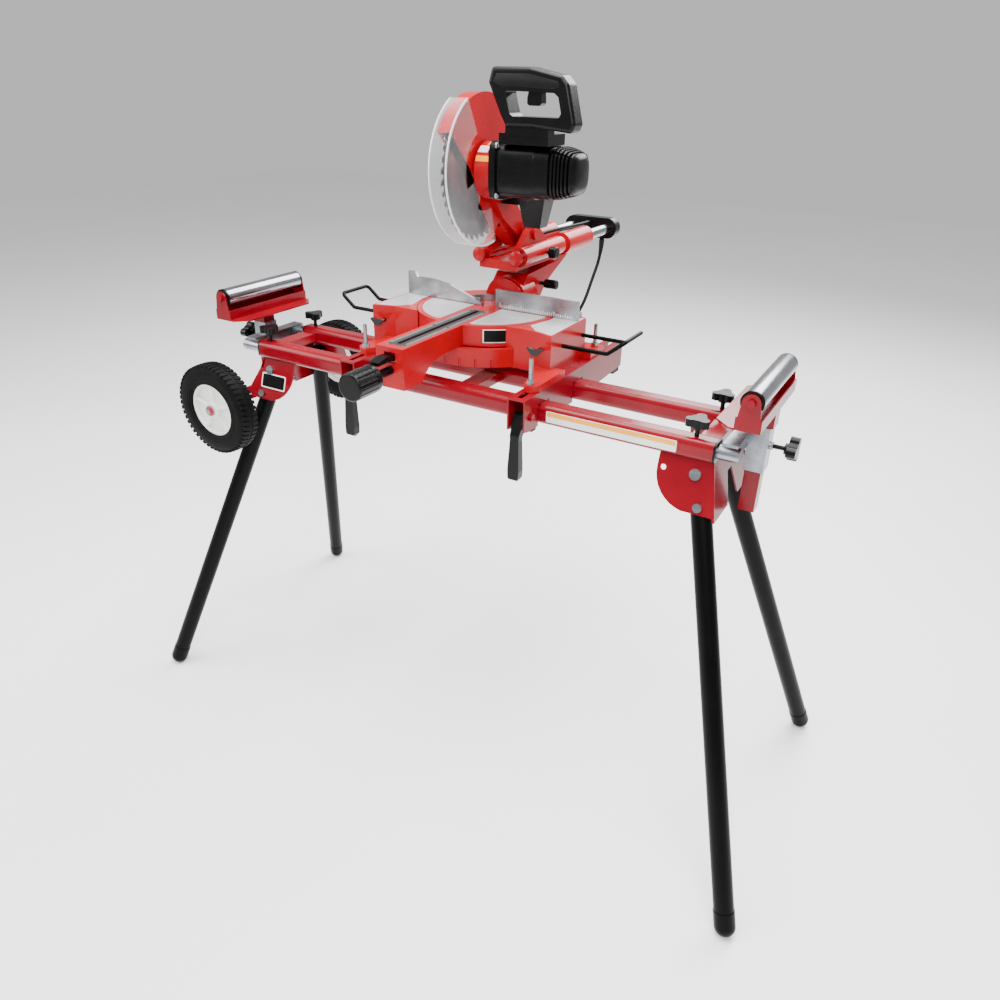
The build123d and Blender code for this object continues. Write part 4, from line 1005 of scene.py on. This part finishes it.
# ---------------------------------------------------------------- saw head
@dataclass
class SawHead:
    """The neck, slide, guards, blade, motor and handle."""

    finishes: FinishRack
    blade_y: float = 73.0
    blade_z: float = 1204.0
    blade_half: float = 1.1
    bore: float = 20.0
    teeth: int = 40
    motor_centre: tuple[float, float] = (75.0, 1208.0)  # a little behind and above the blade's centre
    rim_arc: tuple[float, float] = (119.0, 283.0)  # degrees that the clear guard covers at rest
    tube_x: tuple[float, float] = (-89.0, -1.0)
    tube_front: float = 150.0
    tube_z: float = 1032.0
    flange_x: float = 19.5

    def build(self) -> None:
        """Dress the head's castings and build its blade, motor and trim."""
        paint(["bevel_arm", "slide_carriage", "upper_guard"], self.finishes.red_casting)
        paint(["slide_tubes"], self.finishes.chrome_y)
        paint(["bevel_lock_knob", "slide_lock_knob", "tube_end_cap", "d_handle", "dust_port", "trigger"],
              self.finishes.black_plastic)
        paint(["head_lead"], self.finishes.cord)
        paint(["lower_guard"], self.finishes.clear)
        self.guard_rims()
        self.blade()
        self.motor()
        self.motor_bolts()
        self.tube_plugs()
        self.handle_pad()
        self.labels()

    def blade(self) -> None:
        """Build the blade: its toothed disc, then its carbide tips and clamp flanges."""
        centre = at(SAW_X, self.blade_y, self.blade_z)
        self.blade_disc(centre)
        self.blade_tips(centre)
        profile = [(-12, 0.01), (-12, 7), (-9, 8.6), (-6, 9), (-6, 20), (-5, 22), (5, 22), (5, 8), (38, 8),
                   (38, 0.01)]
        mesh = bmesh.new()
        lathe(mesh, profile, centre, Vector((1, 0, 0)), 40)
        hub = new_piece("blade_flanges", mesh, self.finishes.zinc)
        mounted(hub, "blade_body")

    def blade_disc(self, centre: Vector) -> None:
        """Cut the steel disc with its hooked teeth and gullets.

        Args:
            centre: the blade's centre.
        """
        tooth_line = ((0.0, 118.5), (0.16, 117.6), (0.34, 119.5), (0.62, 125.2), (0.90, 126.6),
                      (0.975, 126.9), (0.995, 122.0))
        rim = [(FULL_TURN * (tooth + share) / self.teeth, radius)
               for tooth in range(self.teeth) for share, radius in tooth_line]
        rings = []
        for x, bored in ((-self.blade_half, False), (self.blade_half, False), (self.blade_half, True),
                         (-self.blade_half, True), (-self.blade_half, False)):
            ring = []
            for angle, radius in rim:
                reach = (self.bore if bored else radius) * MM
                ring.append(centre + Vector((x * MM, reach * math.cos(angle), reach * math.sin(angle))))
            rings.append(ring)
        mesh = bmesh.new()
        join_rings(mesh, rings, caps=False)
        disc = new_piece("toothed_blade", mesh, self.finishes.blade_steel)
        mounted(disc, "blade_body")
        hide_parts("blade")

    def blade_tips(self, centre: Vector) -> None:
        """Braze a carbide tip on the face of each tooth.

        Args:
            centre: the blade's centre.
        """
        half_tip, reach = 0.0013, 0.1245
        mesh = bmesh.new()
        for tooth in range(self.teeth):
            angle = FULL_TURN * (tooth + 0.96) / self.teeth
            out = Vector((0, math.cos(angle), math.sin(angle)))
            along = Vector((0, -out.z, out.y))
            tip = centre + out * reach
            outline = [tip - along * 0.0012 - out * 0.0025, tip + along * 0.0010 - out * 0.0025,
                       tip + along * 0.0012 + out * 0.0024, tip - along * 0.0012 + out * 0.0022]
            slab(mesh, [p - Vector((half_tip, 0, 0)) for p in outline], Vector((2 * half_tip, 0, 0)))
        tips = new_piece("blade_tips", mesh, self.finishes.carbide, False)
        mounted(tips, "blade_body")

    def bent_bar(self, mesh: Mesh, corners: Sequence[tuple[float, float]], arc: tuple[float, float],
                 steps: int) -> None:
        """Add a bar bent round the blade's axis.

        Args:
            mesh: mesh to add to.
            corners: the bar's section as (x, radius) pairs, with x from the stand's middle.
            arc: first and last angle in degrees.
            steps: steps along the bend.
        """
        rings = []
        for step in range(steps + 1):
            angle = math.radians(arc[0] + (arc[1] - arc[0]) * step / steps)
            ray = Vector((0, math.cos(angle), math.sin(angle))) * MM
            rings.append([at(x, self.blade_y, self.blade_z) + ray * radius for x, radius in corners])
        join_rings(mesh, rings)

    def guard_rims(self) -> None:
        """Mould the two thick rims along the outer edges of the clear guard."""
        wide, inner, outer = 1.8, 134.2, 137.9
        mesh = bmesh.new()
        for x in (SAW_X - 18.7, SAW_X + 16.9):
            corners = ((x, inner), (x + wide, inner), (x + wide, outer), (x, outer))
            self.bent_bar(mesh, corners, self.rim_arc, 40)
        rims = new_piece("guard_rims", mesh, self.finishes.guard_rim)
        mounted(rims, "lower_guard_body")

    def section(self, x: float, half_y: float, half_z: float, power: float, count: int = 64) -> list[Vector]:
        """Draw a rounded-square section of the motor body.

        Args:
            x: place along the motor.
            half_y: half its depth.
            half_z: half its height.
            power: squareness, 2 for an ellipse.
            count: points round it.

        Returns:
            The section's points.
        """
        points = []
        for step in range(count):
            angle = FULL_TURN * step / count
            c, s = math.cos(angle), math.sin(angle)
            y = math.copysign(abs(c) ** (2 / power), c) * half_y
            z = math.copysign(abs(s) ** (2 / power), s) * half_z
            points.append(at(x, self.motor_centre[0] + y, self.motor_centre[1] + z))
        return points

    def motor(self) -> None:
        """Shape the motor housing: flange, stepped body and a deeply finned end cap."""
        sections = [(8, 53.6, 51.6, 5.0), (18.5, 53.6, 51.6, 5.0), (20, 52, 50, 5.0),
                    (20.2, 47.5, 45.5, 4.5), (66, 47.8, 45.8, 4.5), (94, 47.8, 45.8, 4.5),
                    (96, 46.6, 44.6, 4.3), (124, 46.4, 44.4, 4.2)]
        fins, pitch, groove = 6, 6.4, 3.8
        x, y, z = 126.0, 46.0, 44.0
        for fin in range(fins):
            sections += [(x, y - groove, z - groove, 4.0), (x + 2.4, y - groove, z - groove, 4.0),
                         (x + 2.7, y, z, 4.0), (x + 6.0, y - 0.4, z - 0.4, 4.0)]
            x += pitch
            shrink = 0.9 + 0.5 * fin
            y -= shrink
            z -= shrink
        sections += [(x, 35.0, 33.0, 3.4), (x + 3.6, 32.0, 30.0, 3.2), (x + 6.4, 24.0, 22.0, 3.0),
                     (x + 7.0, 1.0, 1.0, 2.0)]
        mesh = bmesh.new()
        join_rings(mesh, [self.section(*s) for s in sections])
        body = new_piece("motor_case", mesh, self.finishes.black_plastic)
        mounted(body, "chop_head")
        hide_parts("motor_housing")

    def motor_bolts(self) -> None:
        """Put round-headed bolts at the corners of the motor flange."""
        profile = [(0.0, 5.2), (1.2, 5.2), (2.8, 4.2), (3.4, 2.4), (2.6, 2.0), (2.6, 0.01)]
        back, up = self.motor_centre
        mesh = bmesh.new()
        for y, z in ((45.0, 42.0), (45.0, -42.0), (-45.0, -42.0), (-45.0, 42.0)):
            lathe(mesh, profile, at(self.flange_x, back + y, up + z), Vector((1, 0, 0)), 24)
        mounted(new_piece("motor_bolts", mesh, self.finishes.zinc), "chop_head")

    def tube_plugs(self) -> None:
        """Close the front ends of the slide tubes with red domed plugs."""
        profile = [(-2.0, 9.6), (0.3, 9.6), (0.3, 15.2), (1.6, 15.6), (4.6, 14.4), (6.4, 10.0), (7.0, 0.01)]
        for side, x in zip((-1, 1), self.tube_x):
            mesh = bmesh.new()
            lathe(mesh, profile, at(x, self.tube_front, self.tube_z), Vector((0, -1, 0)), 40)
            plug = new_piece(f"tube_plug_{side_name(side)}", mesh, self.finishes.red_casting)
            mounted(plug, "slide_head")

    def handle_pad(self) -> None:
        """Let a thin soft pad into the front of the grip bar."""
        outline = [(22, 1352), (30, 1364), (92, 1364), (146, 1353), (150, 1345), (138, 1341), (60, 1345),
                   (40, 1343)]
        front = 10.4
        mesh = bmesh.new()
        slab(mesh, [at(x, front, z) for x, z in outline], Vector((0, 0.0012, 0)))
        pad = soften(new_piece("grip_pad", mesh, self.finishes.grip_rubber), 0.0005)
        mounted(pad, "chop_head")

    def labels(self) -> None:
        """Bend plain yellow and silver labels round the gear case."""
        under, face = 49.9, 50.25
        for name, x0, x1, arc, finish in (
                ("case_label_low", -23.0, 6.5, (146.0, 158.0), self.finishes.label_yellow),
                ("case_label_top", -12.0, 6.5, (98.0, 116.0), self.finishes.label_yellow),
                ("case_label_silver", -23.0, -3.0, (120.0, 138.0), self.finishes.label_white)):
            mesh = bmesh.new()
            self.bent_bar(mesh, ((x0, under), (x1, under), (x1, face), (x0, face)), arc, 8)
            mounted(new_piece(name, mesh, finish), "chop_head")


# ---------------------------------------------------------------- studio
@dataclass
class Studio:
    """Pale floor, soft lights and the camera.

    Args:
        eye: where the camera stands.
        yaw: its turn from straight ahead, in degrees.
        pitch: how far it looks down, in degrees.
        roll: its tilt, in degrees.
        lens: its focal length in millimetres.
        lights: place, size in metres and power in watts of each soft box.
        aim: what the lights point at.
        glow: strength of the white surroundings.
    """

    eye: Point = (808.4, -1293.1, 1358.0)
    yaw: float = -30.13
    pitch: float = 28.12
    roll: float = 1.07
    lens: float = 28.49
    lights: tuple[tuple[Point, float, float], ...] = field(default=(
        ((1500.0, -2300.0, 2700.0), 1.8, 95.0),
        ((-2300.0, -1500.0, 2300.0), 2.0, 75.0),
        ((300.0, 2500.0, 3000.0), 2.4, 200.0),
        ((0.0, -200.0, 3600.0), 2.6, 260.0),
    ))
    aim: Point = (0.0, 100.0, 850.0)
    glow: float = 0.62

    def build(self) -> None:
        """Place the camera, then the floor and lights."""
        self.camera()
        self.floor()
        for number, (place, size, power) in enumerate(self.lights):
            data = bpy.data.lights.new(f"soft_box_{number}", "AREA")
            data.size = size
            data.energy = power
            lamp = bpy.data.objects.new(f"soft_box_{number}", data)
            lamp.location = at(*place)
            lamp.rotation_euler = (at(*self.aim) - lamp.location).to_track_quat("-Z", "Y").to_euler()
            bpy.context.scene.collection.objects.link(lamp)
        world = bpy.data.worlds.new("studio")
        world.use_nodes = True
        background = world.node_tree.nodes["Background"]
        background.inputs["Color"].default_value = (1.0, 1.0, 1.0, 1.0)
        background.inputs["Strength"].default_value = self.glow
        bpy.context.scene.world = world

    def camera(self) -> None:
        """Aim the camera from its yaw, pitch and roll."""
        yaw, pitch, roll = (math.radians(v) for v in (self.yaw, self.pitch, self.roll))
        ahead = Vector((math.sin(yaw) * math.cos(pitch), math.cos(yaw) * math.cos(pitch), -math.sin(pitch)))
        right = Vector((math.cos(yaw), -math.sin(yaw), 0))
        up = right.cross(ahead)
        turned = right * math.cos(roll) + up * math.sin(roll)
        top = up * math.cos(roll) - right * math.sin(roll)
        data = bpy.data.cameras.new("camera")
        data.lens = self.lens
        data.sensor_width = 36.0
        view = bpy.data.objects.new("camera", data)
        rows = Matrix((turned, top, -ahead)).transposed().to_4x4()
        rows.translation = at(*self.eye)
        view.matrix_world = rows
        bpy.context.scene.collection.objects.link(view)
        bpy.context.scene.camera = view

    def floor(self) -> None:
        """Lay a wide pale floor, a hair below the feet."""
        half, bottom, top = 9.0, -0.02, -0.0002
        corners = ((-half, -half), (half, -half), (half, half), (-half, half))
        mesh = bmesh.new()
        slab(mesh, [Vector((x, y, bottom)) for x, y in corners], Vector((0, 0, top - bottom)))
        paper = Finish("pale_floor", (0.93, 0.93, 0.93), (0.96, 0.96, 0.96), (0.35, 0.5), tone=1.0, fine=60.0,
                       relief=0.01)
        piece = new_piece("floor", mesh, paper.build(), False)


def main() -> None:
    """Build every piece in order."""
    logging.basicConfig(level=logging.INFO, format="%(message)s")
    finishes = build_finishes()
    Studio().build()
    PowerCord(finishes).build()
    for name, side in (("front", -1), ("rear", 1)):
        RoadWheel(finishes, name, side, (-543.0, side * 203.0, 708.0)).build()
    Stand(finishes).build()
    SawTable(finishes).build()
    SawHead(finishes).build()


if __name__ == "__main__":
    main()
